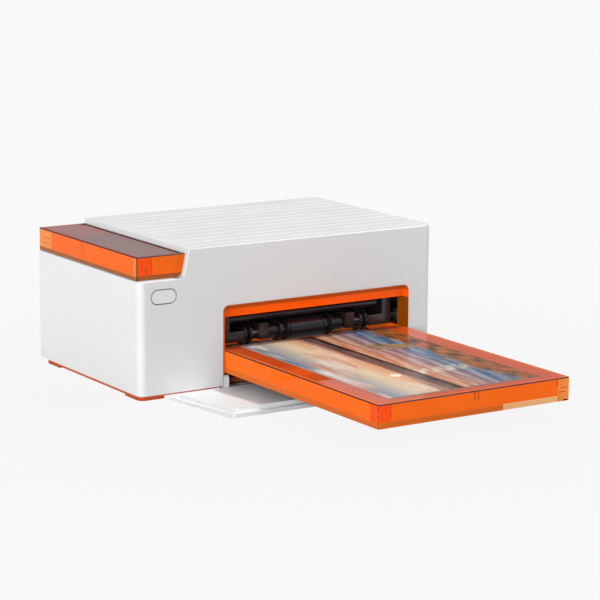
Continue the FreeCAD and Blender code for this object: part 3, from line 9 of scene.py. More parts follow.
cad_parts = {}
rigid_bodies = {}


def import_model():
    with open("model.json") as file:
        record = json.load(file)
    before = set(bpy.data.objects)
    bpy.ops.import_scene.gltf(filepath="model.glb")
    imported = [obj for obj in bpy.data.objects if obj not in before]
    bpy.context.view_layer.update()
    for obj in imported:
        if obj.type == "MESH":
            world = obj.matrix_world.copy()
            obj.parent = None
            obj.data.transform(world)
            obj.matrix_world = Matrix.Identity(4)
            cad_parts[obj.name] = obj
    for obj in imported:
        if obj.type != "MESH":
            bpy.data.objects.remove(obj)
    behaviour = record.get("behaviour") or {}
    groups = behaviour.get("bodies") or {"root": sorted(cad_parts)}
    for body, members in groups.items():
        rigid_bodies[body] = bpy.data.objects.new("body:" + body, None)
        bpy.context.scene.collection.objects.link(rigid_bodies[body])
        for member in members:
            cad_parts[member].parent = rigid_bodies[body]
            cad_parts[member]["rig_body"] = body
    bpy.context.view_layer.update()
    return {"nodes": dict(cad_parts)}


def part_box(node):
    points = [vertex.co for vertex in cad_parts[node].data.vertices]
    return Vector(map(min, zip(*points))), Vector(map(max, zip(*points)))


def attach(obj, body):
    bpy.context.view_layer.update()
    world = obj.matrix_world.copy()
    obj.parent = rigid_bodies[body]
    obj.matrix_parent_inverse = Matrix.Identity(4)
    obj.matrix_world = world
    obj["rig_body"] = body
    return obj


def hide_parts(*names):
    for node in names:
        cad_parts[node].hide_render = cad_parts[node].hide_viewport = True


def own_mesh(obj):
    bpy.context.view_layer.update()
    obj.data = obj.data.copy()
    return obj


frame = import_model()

# Compact photo printer. Lengths are in metres where nothing else is said, and colours are linear.
# Pieces are the CAD nodes, cleaned and given rounded edges, and surfaces worked out here on grids.
MM = 0.001
nodes = frame["nodes"]


def rgb(r, g, b):
    """Linear colour from display values of 0 to 255: the power curve of the display."""
    v = np.array([r, g, b]) / 255.0
    lin = np.where(v <= 0.04045, v / 12.92, ((v + 0.055) / 1.055) ** 2.4)
    return tuple(float(c) for c in lin)


# Camera, at the photograph's viewing angle
CAMERA_PLACE = (-0.72348, -1.11515, 0.31527)
CAMERA_YAW = 32.879
CAMERA_PITCH = 11.228
CAMERA_ROLL = 0.414
CAMERA_LENS = 138.97
CAMERA_REACH = 50.0
SENSOR = 36.0

# Surroundings and lamps
BACK_LEVEL = 0.947
MIRROR_LOW = 0.30
MIRROR_HIGH = 0.95
MIRROR_START = 0.15
MIRROR_END = 0.75
AIR_LEVEL = 0.27
FLOOR_SIDE = 8.0
FLOOR_PALE = 0.55
SHADOW_SHARE = 0.05
SHADOW_START = 0.1
SHADOW_REACH = 0.55
KEY_POWER = 2.0
KEY_ANGLE = 1.2
KEY_FROM = (0.53, -0.02, 0.85)
SIDE_POWER = 3.3
SIDE_ANGLE = 50.0
SIDE_FROM = (-0.85, -0.52, 0.11)

# Noise in the finishes: features per metre, and the part of the noise's range that is used
NOISE_LOW = 0.3
NOISE_HIGH = 0.7
CLOUD_SCALE = 38.0
STREAK_SCALE = 320.0
DUST_SCALE = 180.0
SHEEN_SCALE = 70.0

# Clear plastic
CLEAR_CLOUD = 45.0
CLEAR_DEEP = 0.95
CLEAR_PALE = 1.03
CLEAR_IOR = 1.16
CLEAR_ROUGH = (0.03, 0.07)
CLEAR_ROUGH_RANGE = (0.35, 0.75)
CLEAR_WAVE = 60.0
CLEAR_WAVE_DEPTH = 0.01 * MM
COAT_ROUGH = 0.03
COAT_IOR = 1.5
DULL_COAT = 0.02
PASS_TINT = (0.52, 0.50, 0.50)
LINER_PASS = (0.4, 0.4, 0.4)
FLOOR_PASS = (0.08, 0.08, 0.08)


def material(name):
    """A new material, its node tree and its Principled node."""
    mat = bpy.data.materials.new(name)
    mat.use_nodes = True
    tree = mat.node_tree
    return mat, tree, tree.nodes["Principled BSDF"]


def object_noise(tree, scale, detail=4.0, rough=0.55, stretch=(1, 1, 1)):
    """Noise on the object's own coordinates, which may be stretched along an axis."""
    coords = tree.nodes.new("ShaderNodeTexCoord")
    place = tree.nodes.new("ShaderNodeMapping")
    place.inputs["Scale"].default_value = stretch
    noise = tree.nodes.new("ShaderNodeTexNoise")
    noise.inputs["Scale"].default_value = scale
    noise.inputs["Detail"].default_value = detail
    noise.inputs["Roughness"].default_value = rough
    tree.links.new(coords.outputs["Object"], place.inputs["Vector"])
    tree.links.new(place.outputs["Vector"], noise.inputs["Vector"])
    return noise.outputs["Fac"]


def ramp(tree, source, low, high, start=NOISE_LOW, end=NOISE_HIGH):
    """A value or colour that goes from low to high as the source goes from start to end."""
    node = tree.nodes.new("ShaderNodeValToRGB")
    spread = node.color_ramp.elements
    spread[0].position, spread[1].position = start, end
    spread[0].color = (*low, 1) if isinstance(low, tuple) else (low, low, low, 1)
    spread[1].color = (*high, 1) if isinstance(high, tuple) else (high, high, high, 1)
    tree.links.new(source, node.inputs["Fac"])
    return node.outputs["Color"]


def tint(colour, share):
    """A colour made deeper or paler by a share, with no channel above 1."""
    return tuple(min(1.0, c * share) for c in colour)


def add_bump(tree, bsdf, height, depth):
    """Relief of a given depth in metres, which is high where a value of 0 to 1 is high."""
    node = tree.nodes.new("ShaderNodeBump")
    node.inputs["Strength"].default_value = 1.0
    node.inputs["Distance"].default_value = depth
    tree.links.new(height, node.inputs["Height"])
    tree.links.new(node.outputs["Normal"], bsdf.inputs["Normal"])


def moulded(name, colour, rough=0.36, grain=2600.0, depth=0.012 * MM, spread=0.008, coat=0.0,
            shine=0.5, sweep=0.04):
    """Moulded plastic: a very fine grain, a faint cloudiness of colour and of shine."""
    mat, tree, bsdf = material(name)
    cloud = object_noise(tree, CLOUD_SCALE, detail=2.0)
    body = ramp(tree, cloud, tint(colour, 1 - spread), tint(colour, 1 + spread))
    tree.links.new(body, bsdf.inputs["Base Color"])
    tree.links.new(ramp(tree, cloud, rough - sweep, rough + sweep), bsdf.inputs["Roughness"])
    add_bump(tree, bsdf, object_noise(tree, grain, detail=3.0, rough=0.6), depth)
    bsdf.inputs["Coat Weight"].default_value = coat
    bsdf.inputs["Specular IOR Level"].default_value = shine
    return mat


def metal(name, colour, rough=0.28, stretch=(1, 30, 30), deep=0.86, sweep=(0.08, 0.1),
          depth=0.01 * MM):
    """Plated or drawn metal: streaks along one axis in the shine and in the surface."""
    mat, tree, bsdf = material(name)
    bsdf.inputs["Metallic"].default_value = 1.0
    streak = object_noise(tree, STREAK_SCALE, detail=3.0, rough=0.6, stretch=stretch)
    tree.links.new(ramp(tree, streak, tint(colour, deep), colour), bsdf.inputs["Base Color"])
    polish = ramp(tree, streak, rough - sweep[0], rough + sweep[1])
    tree.links.new(polish, bsdf.inputs["Roughness"])
    add_bump(tree, bsdf, streak, depth)
    return mat


def link_mix(tree, share, low, high):
    """A colour that goes from low to high with a share; both may be sockets or plain colours."""
    node = tree.nodes.new("ShaderNodeMix")
    node.data_type = "RGBA"
    tree.links.new(share, node.inputs["Factor"])
    for socket, value in ((node.inputs["A"], low), (node.inputs["B"], high)):
        if isinstance(value, tuple):
            socket.default_value = (*value, 1)
        else:
            tree.links.new(value, socket)
    return node.outputs["Result"]


def place_split(tree):
    """The object's own x, y and z at the point that is shaded."""
    coords = tree.nodes.new("ShaderNodeTexCoord")
    split = tree.nodes.new("ShaderNodeSeparateXYZ")
    tree.links.new(coords.outputs["Object"], split.inputs["Vector"])
    return split.outputs["X"], split.outputs["Y"], split.outputs["Z"]


def within(tree, value, middle, half):
    """1 where a value is no further from a middle than half a width, and 0 elsewhere."""
    node = tree.nodes.new("ShaderNodeMath")
    node.operation = "COMPARE"
    tree.links.new(value, node.inputs[0])
    node.inputs[1].default_value = middle
    node.inputs[2].default_value = half
    return node.outputs[0]


def combine(tree, operation, first, second):
    """Two values joined by an operation, and kept between 0 and 1."""
    node = tree.nodes.new("ShaderNodeMath")
    node.operation = operation
    node.use_clamp = True
    tree.links.new(first, node.inputs[0])
    tree.links.new(second, node.inputs[1])
    return node.outputs[0]


def inside_box(tree, low, high):
    """1 inside a box that is given by its low and high corner, and 0 outside it. With two numbers
    to a corner, the height is left open."""
    share = None
    for value, a, b in zip(place_split(tree), low, high):
        part = within(tree, value, (a + b) / 2, (b - a) / 2)
        share = combine(tree, "MULTIPLY", share, part) if share else part
    return share


def recoloured(tree, body, low, high, colour):
    """The body colour with another one inside a box."""
    return link_mix(tree, inside_box(tree, low, high), body, colour)


def see_through(name, colour, boxes=(), clear=0.4, coat=0.15, glow=0.18, pass_tint=PASS_TINT,
                dull=None):
    """Clear tinted plastic. Part of the light goes through, bent a little, and part shows the tint
    inside the wall. The glow is painted light: the tint is also emitted, evenly all over, so that
    the plastic is brighter than the lamps make it. Boxes recolour patches: what is seen of floor
    plates, ribs and latches through the wall, dark lines along edges, paler patches, and painted
    shade on some pieces. Lamp light and bounced light pass as a pale tint. The box given as dull
    has almost no coat."""
    mat, tree, bsdf = material(name)
    cloud = object_noise(tree, CLEAR_CLOUD, detail=2.0)
    body = ramp(tree, cloud, tint(colour, CLEAR_DEEP), tint(colour, CLEAR_PALE))
    for low, high, other in boxes:
        body = recoloured(tree, body, low, high, other)
    tree.links.new(body, bsdf.inputs["Base Color"])
    # Painted glow: the tint is emitted as well, evenly over the surface, though the piece is no lamp
    tree.links.new(body, bsdf.inputs["Emission Color"])
    bsdf.inputs["Emission Strength"].default_value = glow
    bsdf.inputs["Transmission Weight"].default_value = clear
    bsdf.inputs["IOR"].default_value = CLEAR_IOR
    bsdf.inputs["Coat Weight"].default_value = coat
    bsdf.inputs["Coat Roughness"].default_value = COAT_ROUGH
    bsdf.inputs["Coat IOR"].default_value = COAT_IOR
    if dull:
        shine = ramp(tree, inside_box(tree, *dull), coat, DULL_COAT, 0, 1)
        tree.links.new(shine, bsdf.inputs["Coat Weight"])
    tree.links.new(ramp(tree, cloud, *CLEAR_ROUGH, *CLEAR_ROUGH_RANGE), bsdf.inputs["Roughness"])
    add_bump(tree, bsdf, object_noise(tree, CLEAR_WAVE, detail=2.0), CLEAR_WAVE_DEPTH)
    path = tree.nodes.new("ShaderNodeLightPath")
    either = combine(tree, "MAXIMUM", path.outputs["Is Shadow Ray"], path.outputs["Is Diffuse Ray"])
    clear_path = tree.nodes.new("ShaderNodeBsdfTransparent")
    clear_path.inputs["Color"].default_value = (*pass_tint, 1)
    mix = tree.nodes.new("ShaderNodeMixShader")
    tree.links.new(either, mix.inputs["Fac"])
    tree.links.new(bsdf.outputs["BSDF"], mix.inputs[1])
    tree.links.new(clear_path.outputs["BSDF"], mix.inputs[2])
    tree.links.new(mix.outputs["Shader"], tree.nodes["Material Output"].inputs["Surface"])
    return mat


def black_gloss(name, deep=(0.008, 0.007, 0.009), pale=(0.016, 0.013, 0.018), rough=(0.10, 0.2),
                swirl=90.0, grain=900.0, depth=0.006 * MM, coat=0.3, coat_rough=0.05):
    """Polished near-black moulding with faint swirls in its shine."""
    mat, tree, bsdf = material(name)
    cloud = object_noise(tree, swirl, detail=3.0)
    tree.links.new(ramp(tree, cloud, deep, pale), bsdf.inputs["Base Color"])
    tree.links.new(ramp(tree, cloud, *rough), bsdf.inputs["Roughness"])
    add_bump(tree, bsdf, object_noise(tree, grain, detail=2.0), depth)
    bsdf.inputs["Coat Weight"].default_value = coat
    bsdf.inputs["Coat Roughness"].default_value = coat_rough
    return mat


def rubber(name, colour, rough=0.62, sweep=0.12, deep=0.85, grain=2200.0, depth=0.02 * MM,
           shine=0.2):
    """Dull rubber with specks of dust in its colour and a fine grain."""
    mat, tree, bsdf = material(name)
    dust = object_noise(tree, DUST_SCALE, detail=5.0)
    tree.links.new(ramp(tree, dust, tint(colour, deep), colour), bsdf.inputs["Base Color"])
    tree.links.new(ramp(tree, dust, rough, rough + sweep), bsdf.inputs["Roughness"])
    add_bump(tree, bsdf, object_noise(tree, grain, detail=3.0), depth)
    bsdf.inputs["Specular IOR Level"].default_value = shine
    return mat


def glossy_photo(name, rough=(0.22, 0.32), grain=3000.0, depth=0.004 * MM, shine=0.12):
    """Coated photo paper that shows the colours worked out at each point of the sheet."""
    mat, tree, bsdf = material(name)
    colours = tree.nodes.new("ShaderNodeAttribute")
    colours.attribute_name = "picture"
    tree.links.new(colours.outputs["Color"], bsdf.inputs["Base Color"])
    sheen = object_noise(tree, SHEEN_SCALE, detail=2.0)
    tree.links.new(ramp(tree, sheen, *rough), bsdf.inputs["Roughness"])
    add_bump(tree, bsdf, object_noise(tree, grain, detail=2.0), depth)
    bsdf.inputs["Specular IOR Level"].default_value = shine
    return mat


tray_low, tray_high = (Vector(c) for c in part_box("paper_tray"))
box_low, box_high = (Vector(c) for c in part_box("storage_box"))
liner_low, liner_high = (Vector(c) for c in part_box("slot_frame"))
lid_low, lid_high = (Vector(c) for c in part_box("storage_lid"))
tray_w, _, tray_h = (tray_high - tray_low) / MM
box_w, box_l, box_h = (box_high - box_low) / MM

# Tints of the clear pieces
ORANGE = (1.0, 0.170, 0.008)
BOX_ORANGE = (1.0, 0.165, 0.010)
LINER_ORANGE = (1.0, 0.105, 0.004)
FRAME_ORANGE = (0.80, 0.115, 0.020)
LID_MAUVE = (0.42, 0.18, 0.17)
LID_RED = (0.66, 0.15, 0.11)
LID_BROWN = (0.16, 0.03, 0.012)
AMBER = (0.80, 0.165, 0.018)
PALE_AMBER = (0.85, 0.30, 0.065)
SAND = (1.0, 0.56, 0.25)
DEEP_RED = (0.50, 0.035, 0.010)
RED_ORANGE = (1.0, 0.095, 0.006)
# Darker top of the liner: its lip, and painted shade under the casing's edge
LIP_AND_SHADE_BROWN = (0.52, 0.080, 0.008)
# Painted shade on the liner's right cheek, inside the opening
CHEEK_SHADE_BROWN = (0.24, 0.050, 0.001)
FLOOR_BROWN = (0.40, 0.125, 0.034)
RIM_MAUVE = (0.44, 0.16, 0.13)
NAVY = (0.030, 0.010, 0.022)
BROWN = (0.30, 0.065, 0.016)
DARK_BROWN = (0.10, 0.010, 0.001)

# Patches on the clear walls. Lengths here and in the tables below are in millimetres, and a share
# is a part of the wall's length.
PAST_END = 1.0
WALL_SKIN = 0.3
TRAY_FLOOR = 3.4
TRAY_CORNER = 8.5
TRAY_SIDE_CORNER = 7.5
TRAY_POST = 9.0
SAND_FROM_SHARE = 0.64
LATCH_H = 5.5
TRAY_EDGE = 0.55
TRAY_RIM = 1.5
TOP_SKIN = 0.1
BOX_CORNER = 9.5
BOX_SIDE_CORNER = 4.2
BOX_REAR_CORNER = 17.0
BOX_FLOOR = 2.2
BOX_FLOOR_LINE = 2.5
BOX_RIM_SKIN = 0.03
BOX_HINGE_BAND = 4.0
BOX_EDGE = 0.5
BOX_TICK_SHARES = (0.53, 0.56)
LINER_LIP_AND_SHADE = 4.9
LINER_BAND = 9.4
LINER_CHEEK = 5.0
LID_RED_SHARE = 0.66
LID_HINGE_BAND = 2.6
LID_DULL_BAND = 4.6


def on_front(low, x0, x1, z0, z1, colour):
    """A patch of another colour on a front wall: lengths in mm from the wall's left foot."""
    x, y, z = low
    return ((x + x0 * MM, y - PAST_END * MM, z + z0 * MM),
            (x + x1 * MM, y + WALL_SKIN * MM, z + z1 * MM), colour)


def on_side(low, y0, y1, z0, z1, colour):
    """A patch of another colour on a left wall: lengths in mm from the wall's front foot."""
    x, y, z = low
    return ((x - PAST_END * MM, y + y0 * MM, z + z0 * MM),
            (x + WALL_SKIN * MM, y + y1 * MM, z + z1 * MM), colour)


def zone(low, high, **ends):
    """The low and high corner of a box that passes a piece's ends by a little on every side, but
    for the ends that are given in metres, under the names x0, x1, y0, y1, z0 and z1."""
    first = tuple(ends.get(axis + "0", value - PAST_END * MM) for axis, value in zip("xyz", low))
    last = tuple(ends.get(axis + "1", value + PAST_END * MM) for axis, value in zip("xyz", high))
    return first, last


tray_front = (
    (SAND_FROM_SHARE * tray_w, tray_w, -PAST_END, TRAY_FLOOR, SAND),
    (0, TRAY_CORNER, TRAY_FLOOR, tray_h, RED_ORANGE),
    (tray_w - TRAY_POST, tray_w + PAST_END, -PAST_END, tray_h, PALE_AMBER),
    (tray_w / 2 - 1.7, tray_w / 2 - 1.0, tray_h - LATCH_H, tray_h, DEEP_RED),
    (tray_w / 2 + 0.8, tray_w / 2 + 1.4, tray_h - LATCH_H, tray_h, BROWN),
    (4.6, 5.0, tray_h - 4.4, tray_h - 1.6, BROWN),
    (7.8, 8.1, tray_h - 7.5, tray_h - 1.2, DEEP_RED),
    (tray_w - 9.2, tray_w - 8.8, tray_h - 5.0, tray_h, NAVY),
    (tray_w - 8, tray_w - 3, 5.2, 5.6, BROWN),
    (tray_w - 6, tray_w - 2, 7.4, 7.8, DEEP_RED),
    (tray_w - 4.5, tray_w - 1.5, -PAST_END, 0.9, NAVY),
)
tray_side = (
    (0, TRAY_SIDE_CORNER, TRAY_FLOOR, tray_h, RED_ORANGE),
    (5.6, 6.0, 4.0, 7.8, BROWN),
    (4.0, 6.0, 3.8, 4.2, BROWN),
    (3.8, 4.2, 3.8, 5.6, BROWN),
    (6.8, 7.1, tray_h - 3.5, tray_h, DEEP_RED),
)
tray_edge_dashes = ((-PAST_END, 1.2), (2.6, 4.2), (5.4, 7.4), (8.6, tray_h))
tray_marks = [(*zone(tray_low, tray_high, z1=tray_low.z + TRAY_FLOOR * MM), AMBER)]
tray_marks += [on_front(tray_low, *patch) for patch in tray_front]
tray_marks += [on_side(tray_low, *patch) for patch in tray_side]
tray_marks += [(*zone(tray_low, tray_high, x1=tray_low.x + TRAY_EDGE * MM,
                      y1=tray_low.y + TRAY_EDGE * MM, z0=tray_low.z + z0 * MM,
                      z1=tray_low.z + z1 * MM), NAVY) for z0, z1 in tray_edge_dashes]
tray_marks += [(*zone(tray_low, tray_high, x0=tray_high.x - TRAY_RIM * MM,
                      z0=tray_high.z - TOP_SKIN * MM), BROWN)]

box_front = (
    (0, BOX_CORNER, 0, box_h, RED_ORANGE),
    (9.35, 9.65, 0, box_h, DEEP_RED),
    (3.0, 3.4, 6.0, 10.0, BROWN),
    (3.0, 6.5, 5.7, 6.1, BROWN),
    (6.1, 6.5, 3.4, 5.8, BROWN),
)
box_side = (
    (0, BOX_SIDE_CORNER, 0, box_h, PALE_AMBER),
    (box_l - BOX_REAR_CORNER, box_l + PAST_END, 0, box_h, PALE_AMBER),
    (box_l - 17.2, box_l - 16.8, 0, box_h, BROWN),
    (box_l - 15, box_l - 2, 5.0, 5.3, BROWN),
    (box_l - 15, box_l - 6, 8.2, 8.5, BROWN),
    (1.6, 1.9, 3.0, 9.0, BROWN),
    (BOX_TICK_SHARES[0] * box_l, BOX_TICK_SHARES[0] * box_l + 0.5, 1.0, box_h, BROWN),
    (BOX_TICK_SHARES[1] * box_l, BOX_TICK_SHARES[1] * box_l + 0.4, 6.0, box_h, BROWN),
)
box_marks = [on_front(box_low, *patch) for patch in box_front]
box_marks += [on_side(box_low, *patch) for patch in box_side]
box_marks += [
    (*zone(box_low, box_high, z1=box_low.z + BOX_FLOOR * MM), FLOOR_BROWN),
    on_front(box_low, 0, box_w, BOX_FLOOR, BOX_FLOOR_LINE, BROWN),
    (*zone(box_low, box_high, z0=box_low.z + (box_h - BOX_RIM_SKIN) * MM,
           z1=box_low.z + (box_h + PAST_END) * MM), RIM_MAUVE),
    ((box_high.x - BOX_HINGE_BAND * MM, box_low.y + BOX_EDGE * MM, box_low.z), box_high,
     DARK_BROWN),
    (*zone(box_low, box_high, x1=box_low.x + BOX_EDGE * MM, y1=box_low.y + BOX_EDGE * MM,
           z0=box_low.z, z1=box_high.z), NAVY),
]
liner_marks = [
    # Darker top band: the liner's lip, and painted shade under the casing's edge
    (*zone(liner_low, liner_high, z0=liner_high.z - LINER_LIP_AND_SHADE * MM), LIP_AND_SHADE_BROWN),
    # Painted shade on the liner's right cheek, inside the opening
    (*zone(liner_low, liner_high, x0=liner_high.x - LINER_CHEEK * MM,
           z1=liner_high.z - LINER_BAND * MM), CHEEK_SHADE_BROWN),
]
lid_marks = [
    ((lid_low.x, lid_low.y + LID_RED_SHARE * (lid_high.y - lid_low.y), lid_low.z),
     (lid_high.x, lid_high.y, lid_high.z + PAST_END * MM), LID_RED),
    (*zone(lid_low, lid_high, x0=lid_high.x - LID_HINGE_BAND * MM), LID_BROWN),
]
lid_barrel_side = zone(lid_low, lid_high, x0=lid_high.x - LID_DULL_BAND * MM)

shell_white = moulded("shell_white", rgb(240, 240, 241))
cover_white = moulded("cover_white", rgb(244, 244, 245), rough=0.45)
button_white = moulded("button_white", rgb(246, 246, 248), rough=0.42)
# A greyer copy of the cover's white: painted shade on its left flanks
cover_flank_shade = moulded("cover_flank_shade", rgb(224, 224, 226), rough=0.45)
groove_grey = moulded("groove_grey", rgb(150, 150, 152), rough=0.6, shine=0.1)
# The glow given to the clear pieces below is painted light: emission in their own tint
tray_orange = see_through("tray_orange", ORANGE, tray_marks, coat=0.02, glow=0.22)
floor_orange = see_through("floor_orange", ORANGE, glow=0.0, pass_tint=FLOOR_PASS)
box_orange = see_through("box_orange", BOX_ORANGE, box_marks, coat=0.03, glow=0.22)
frame_orange = see_through("frame_orange", FRAME_ORANGE, coat=0.3, glow=0.08)
lid_orange = see_through("lid_orange", LID_MAUVE, lid_marks, clear=0.3, coat=1.0, glow=0.0,
                         dull=lid_barrel_side)
liner_orange = see_through("liner_orange", LINER_ORANGE, liner_marks, clear=0.1, coat=0.02,
                           glow=0.3, pass_tint=LINER_PASS)
pin_orange = moulded("pin_orange", BROWN, rough=0.6, shine=0.02)
dark_line = moulded("dark_line", rgb(30, 16, 30), rough=0.7)
terracotta = moulded("terracotta", rgb(202, 98, 58), rough=0.5, spread=0.05)
foot_rubber = rubber("foot_rubber", rgb(204, 84, 34))
dark_plastic = moulded("dark_plastic", rgb(38, 31, 34), rough=0.24, spread=0.1, coat=0.4)
roller_gloss = black_gloss("roller_gloss")
roller_rubber = black_gloss("roller_rubber")
steel = metal("steel", rgb(190, 192, 196))
aluminium = metal("aluminium", rgb(214, 216, 219), rough=0.34)
gear_white = moulded("gear_white", rgb(233, 229, 215), rough=0.4)
bush_dark = moulded("bush_dark", rgb(70, 66, 62), rough=0.5, shine=0.2)
board_green = moulded("board_green", rgb(22, 92, 58), rough=0.35, spread=0.12)
black_film = black_gloss("black_film")
ceramic = moulded("ceramic", rgb(226, 223, 214), rough=0.25)
blank_paper = moulded("blank_paper", rgb(244, 244, 243), rough=0.55, grain=4200.0)
photo_gloss = glossy_photo("photo_gloss")

# Finishes of the CAD nodes that are shown as they are
FINISHES = {
    shell_white: ("rear_cover", "cover_brackets", "ribbon_door"),
    terracotta: ("base_plate",),
    foot_rubber: ("left_foot_rail", "right_foot_rail"),
    roller_gloss: ("guide_discs", "shaft_sleeves", "exit_roller"),
    roller_rubber: ("feed_roller", "platen_roller"),
    dark_plastic: ("tray_guides", "feed_guide", "shaft_brackets", "cartridge_shell", "paper_ramp",
                   "rear_guide"),
    steel: ("rear_screws", "case_screws", "cover_hinge_pins", "lift_plate",
            "feed_shaft", "left_side_frame", "right_side_frame", "tie_rods",
            "frame_screws", "motor_plate", "feed_motor", "motor_screws", "platen_shaft",
            "rear_sockets", "door_hinge_pin", "motor_pinion"),
    aluminium: ("head_bracket",),
    gear_white: ("feed_gear", "idler_gear", "platen_gear", "takeup_gear", "takeup_spool",
                 "supply_spool"),
    bush_dark: ("frame_bushes",),
    board_green: ("main_board", "button_board"),
    black_film: ("ribbon_film", "takeup_roll", "supply_roll"),
    ceramic: ("thermal_head",),
    blank_paper: ("paper_stack",),
    pin_orange: ("storage_hinge_pin", "lid_hinge_pins"),
}

# Edges of the pieces: angles in degrees, and widths of the roundings
CREASE = 32.0
WALL_CREASE = 50.0
FLAT_ANGLE = 0.5
WELD = 0.002 * MM
LEVEL = 0.02 * MM
LINE_WIDTH = 0.6 * MM
LINE_BAND = 0.5 * MM
COVER_ROUND = 0.25 * MM
LINER_ROUND = 0.15 * MM
TRAY_LID_ROUND = 0.15 * MM
WALL_ROUND = 0.2 * MM
BUTTON_RIM = 0.4 * MM

# Places on the pieces
CASING_CORNER = 4.4 * MM
TRAY_TOP_CORNER = 1.4 * MM
BOX_TOP_CORNER = 0.7 * MM
GROOVE_DEPTH = 0.5 * MM
GROOVES_FROM_BOX = 2.5 * MM
GROOVE_INSET = 1.2 * MM
TRAY_FLOOR_TOP = 2.0 * MM
LID_TOP_SKIN = 0.1 * MM
LID_BARREL = 3.1 * MM
FLANK_TURN = -0.5


def paint(obj, mat):
    """Give a piece one finish."""
    obj.data.materials.clear()
    obj.data.materials.append(mat)
    obj.data.polygons.foreach_set("material_index", np.zeros(len(obj.data.polygons), dtype=np.int32))


def body_of(node):
    """The body that a CAD node moves with."""
    return nodes[node]["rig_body"]


def finish_piece(obj, node, mat):
    """A piece that stands for a CAD node: its finish, its body and what it replaces."""
    paint(obj, mat)
    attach(obj, body_of(node))
    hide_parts(node)
    return obj


def show_mesh(name, mesh):
    """A new object in the scene that shows a mesh."""
    obj = bpy.data.objects.new(name, mesh)
    bpy.context.scene.collection.objects.link(obj)
    return obj


def clean_copy(node, name):
    """A CAD node's mesh as a closed surface: points merged and flat triangles joined."""
    mesh = nodes[node].data.copy()
    mesh.name = name
    work = bmesh.new()
    work.from_mesh(mesh)
    bmesh.ops.remove_doubles(work, verts=work.verts, dist=WELD)
    bmesh.ops.dissolve_limit(work, angle_limit=math.radians(FLAT_ANGLE), verts=work.verts,
                             edges=work.edges)
    work.to_mesh(mesh)
    work.free()
    return show_mesh(name, mesh)


def add_bevel(obj, width, segments, crease):
    """Round the edges where the surface turns by more than the crease angle."""
    bevel = obj.modifiers.new("rounding", "BEVEL")
    bevel.width = width
    bevel.segments = segments
    bevel.limit_method = "ANGLE"
    bevel.angle_limit = math.radians(crease)
    bevel.use_clamp_overlap = True
    bevel.harden_normals = True
    bevel.miter_outer = "MITER_ARC"
    return bevel


def soften(obj, width, crease=CREASE, segments=2):
    """Round every sharp edge by a small width, and shade what lies between them smoothly."""
    mesh = obj.data
    mesh.polygons.foreach_set("use_smooth", np.ones(len(mesh.polygons), dtype=bool))
    mesh.set_sharp_from_angle(angle=math.radians(crease))
    if width:
        add_bevel(obj, width, segments, crease)
    return obj


def points_of(mesh):
    """The mesh's points as rows of x, y, z."""
    flat = np.empty(len(mesh.vertices) * 3)
    mesh.vertices.foreach_get("co", flat)
    return flat.reshape(-1, 3)


def edge_ends(mesh):
    """The numbers of the points at the two ends of every edge."""
    ends = np.empty(len(mesh.edges) * 2, dtype=np.int32)
    mesh.edges.foreach_get("vertices", ends)
    return ends[0::2], ends[1::2]


def mark_edges(obj, chosen):
    """Give a bevel weight to the edges that a test picks from the ends a and b of every edge."""
    mesh = obj.data
    place = points_of(mesh)
    a, b = (place[end] for end in edge_ends(mesh))
    weight = mesh.attributes.new("bevel_weight_edge", "FLOAT", "EDGE")
    weight.data.foreach_set("value", chosen(a, b).astype(np.float32))
    return obj


def round_marked(obj, width, segments, line=-1):
    """Round the marked edges only; line is the index of the finish on the new strips."""
    bevel = add_bevel(obj, width, segments, crease=30.0)
    bevel.limit_method = "WEIGHT"
    bevel.use_clamp_overlap = False
    bevel.material = line
    return bevel


def rounded_piece(node, name, mat, width, crease=CREASE, segments=2):
    """A CAD node's mesh with small roundings, which stands for the node."""
    return finish_piece(soften(clean_copy(node, name), width, crease, segments), node, mat)


def on_outline(place, low, high, corner):
    """How far points lie outside a rectangle with rounded corners, seen from above."""
    middle = (np.array(low[:2]) + np.array(high[:2])) / 2
    half = (np.array(high[:2]) - np.array(low[:2])) / 2
    away = np.abs(place[:, :2] - middle) - half + corner
    return np.hypot(*np.maximum(away, 0).T) + np.minimum(away.max(axis=1), 0) - corner


def clear_piece(node, name, mat, width, corner=None, low=None, high=None):
    """A clear moulding. With a corner radius, its top outer edges show as thin dark lines."""
    obj = finish_piece(soften(clean_copy(node, name), 0.0), node, mat)
    if corner is not None:
        top = high[2]

        def rim(a, b):
            flat = (np.abs(a[:, 2] - top) < LEVEL) & (np.abs(b[:, 2] - top) < LEVEL)
            outer = np.minimum(on_outline(a, low, high, corner), on_outline(b, low, high, corner))
            return flat & (outer > -LINE_BAND)

        mark_edges(obj, rim)
        obj.data.materials.append(dark_line)
        round_marked(obj, LINE_WIDTH, 2, 1)
    if width:
        add_bevel(obj, width, 2, WALL_CREASE)
    return obj


def paint_where(obj, mat, chosen):
    """Give another finish to the faces whose points all pass a test of their places."""
    obj.data.materials.append(mat)
    index = len(obj.data.materials) - 1
    passed = chosen(points_of(obj.data))
    for face in obj.data.polygons:
        if passed[list(face.vertices)].all():
            face.material_index = index


def sharpen_grooves(obj):
    """Keep the edges of the grooves in the casing's top sharp, and leave its rims smooth."""
    mesh = obj.data
    low, high = (Vector(c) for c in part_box("main_casing"))
    place = points_of(mesh)
    inside = (place[:, 2] > high.z - GROOVE_DEPTH) & (place[:, 0] > box_high.x + GROOVES_FROM_BOX)
    inside &= on_outline(place, low, high, CASING_CORNER) < -GROOVE_INSET
    a, b = edge_ends(mesh)
    sharp = np.empty(len(mesh.edges), dtype=bool)
    mesh.attributes["sharp_edge"].data.foreach_get("value", sharp)
    sharp |= inside[a] & inside[b]
    mesh.attributes["sharp_edge"].data.foreach_set("value", sharp)


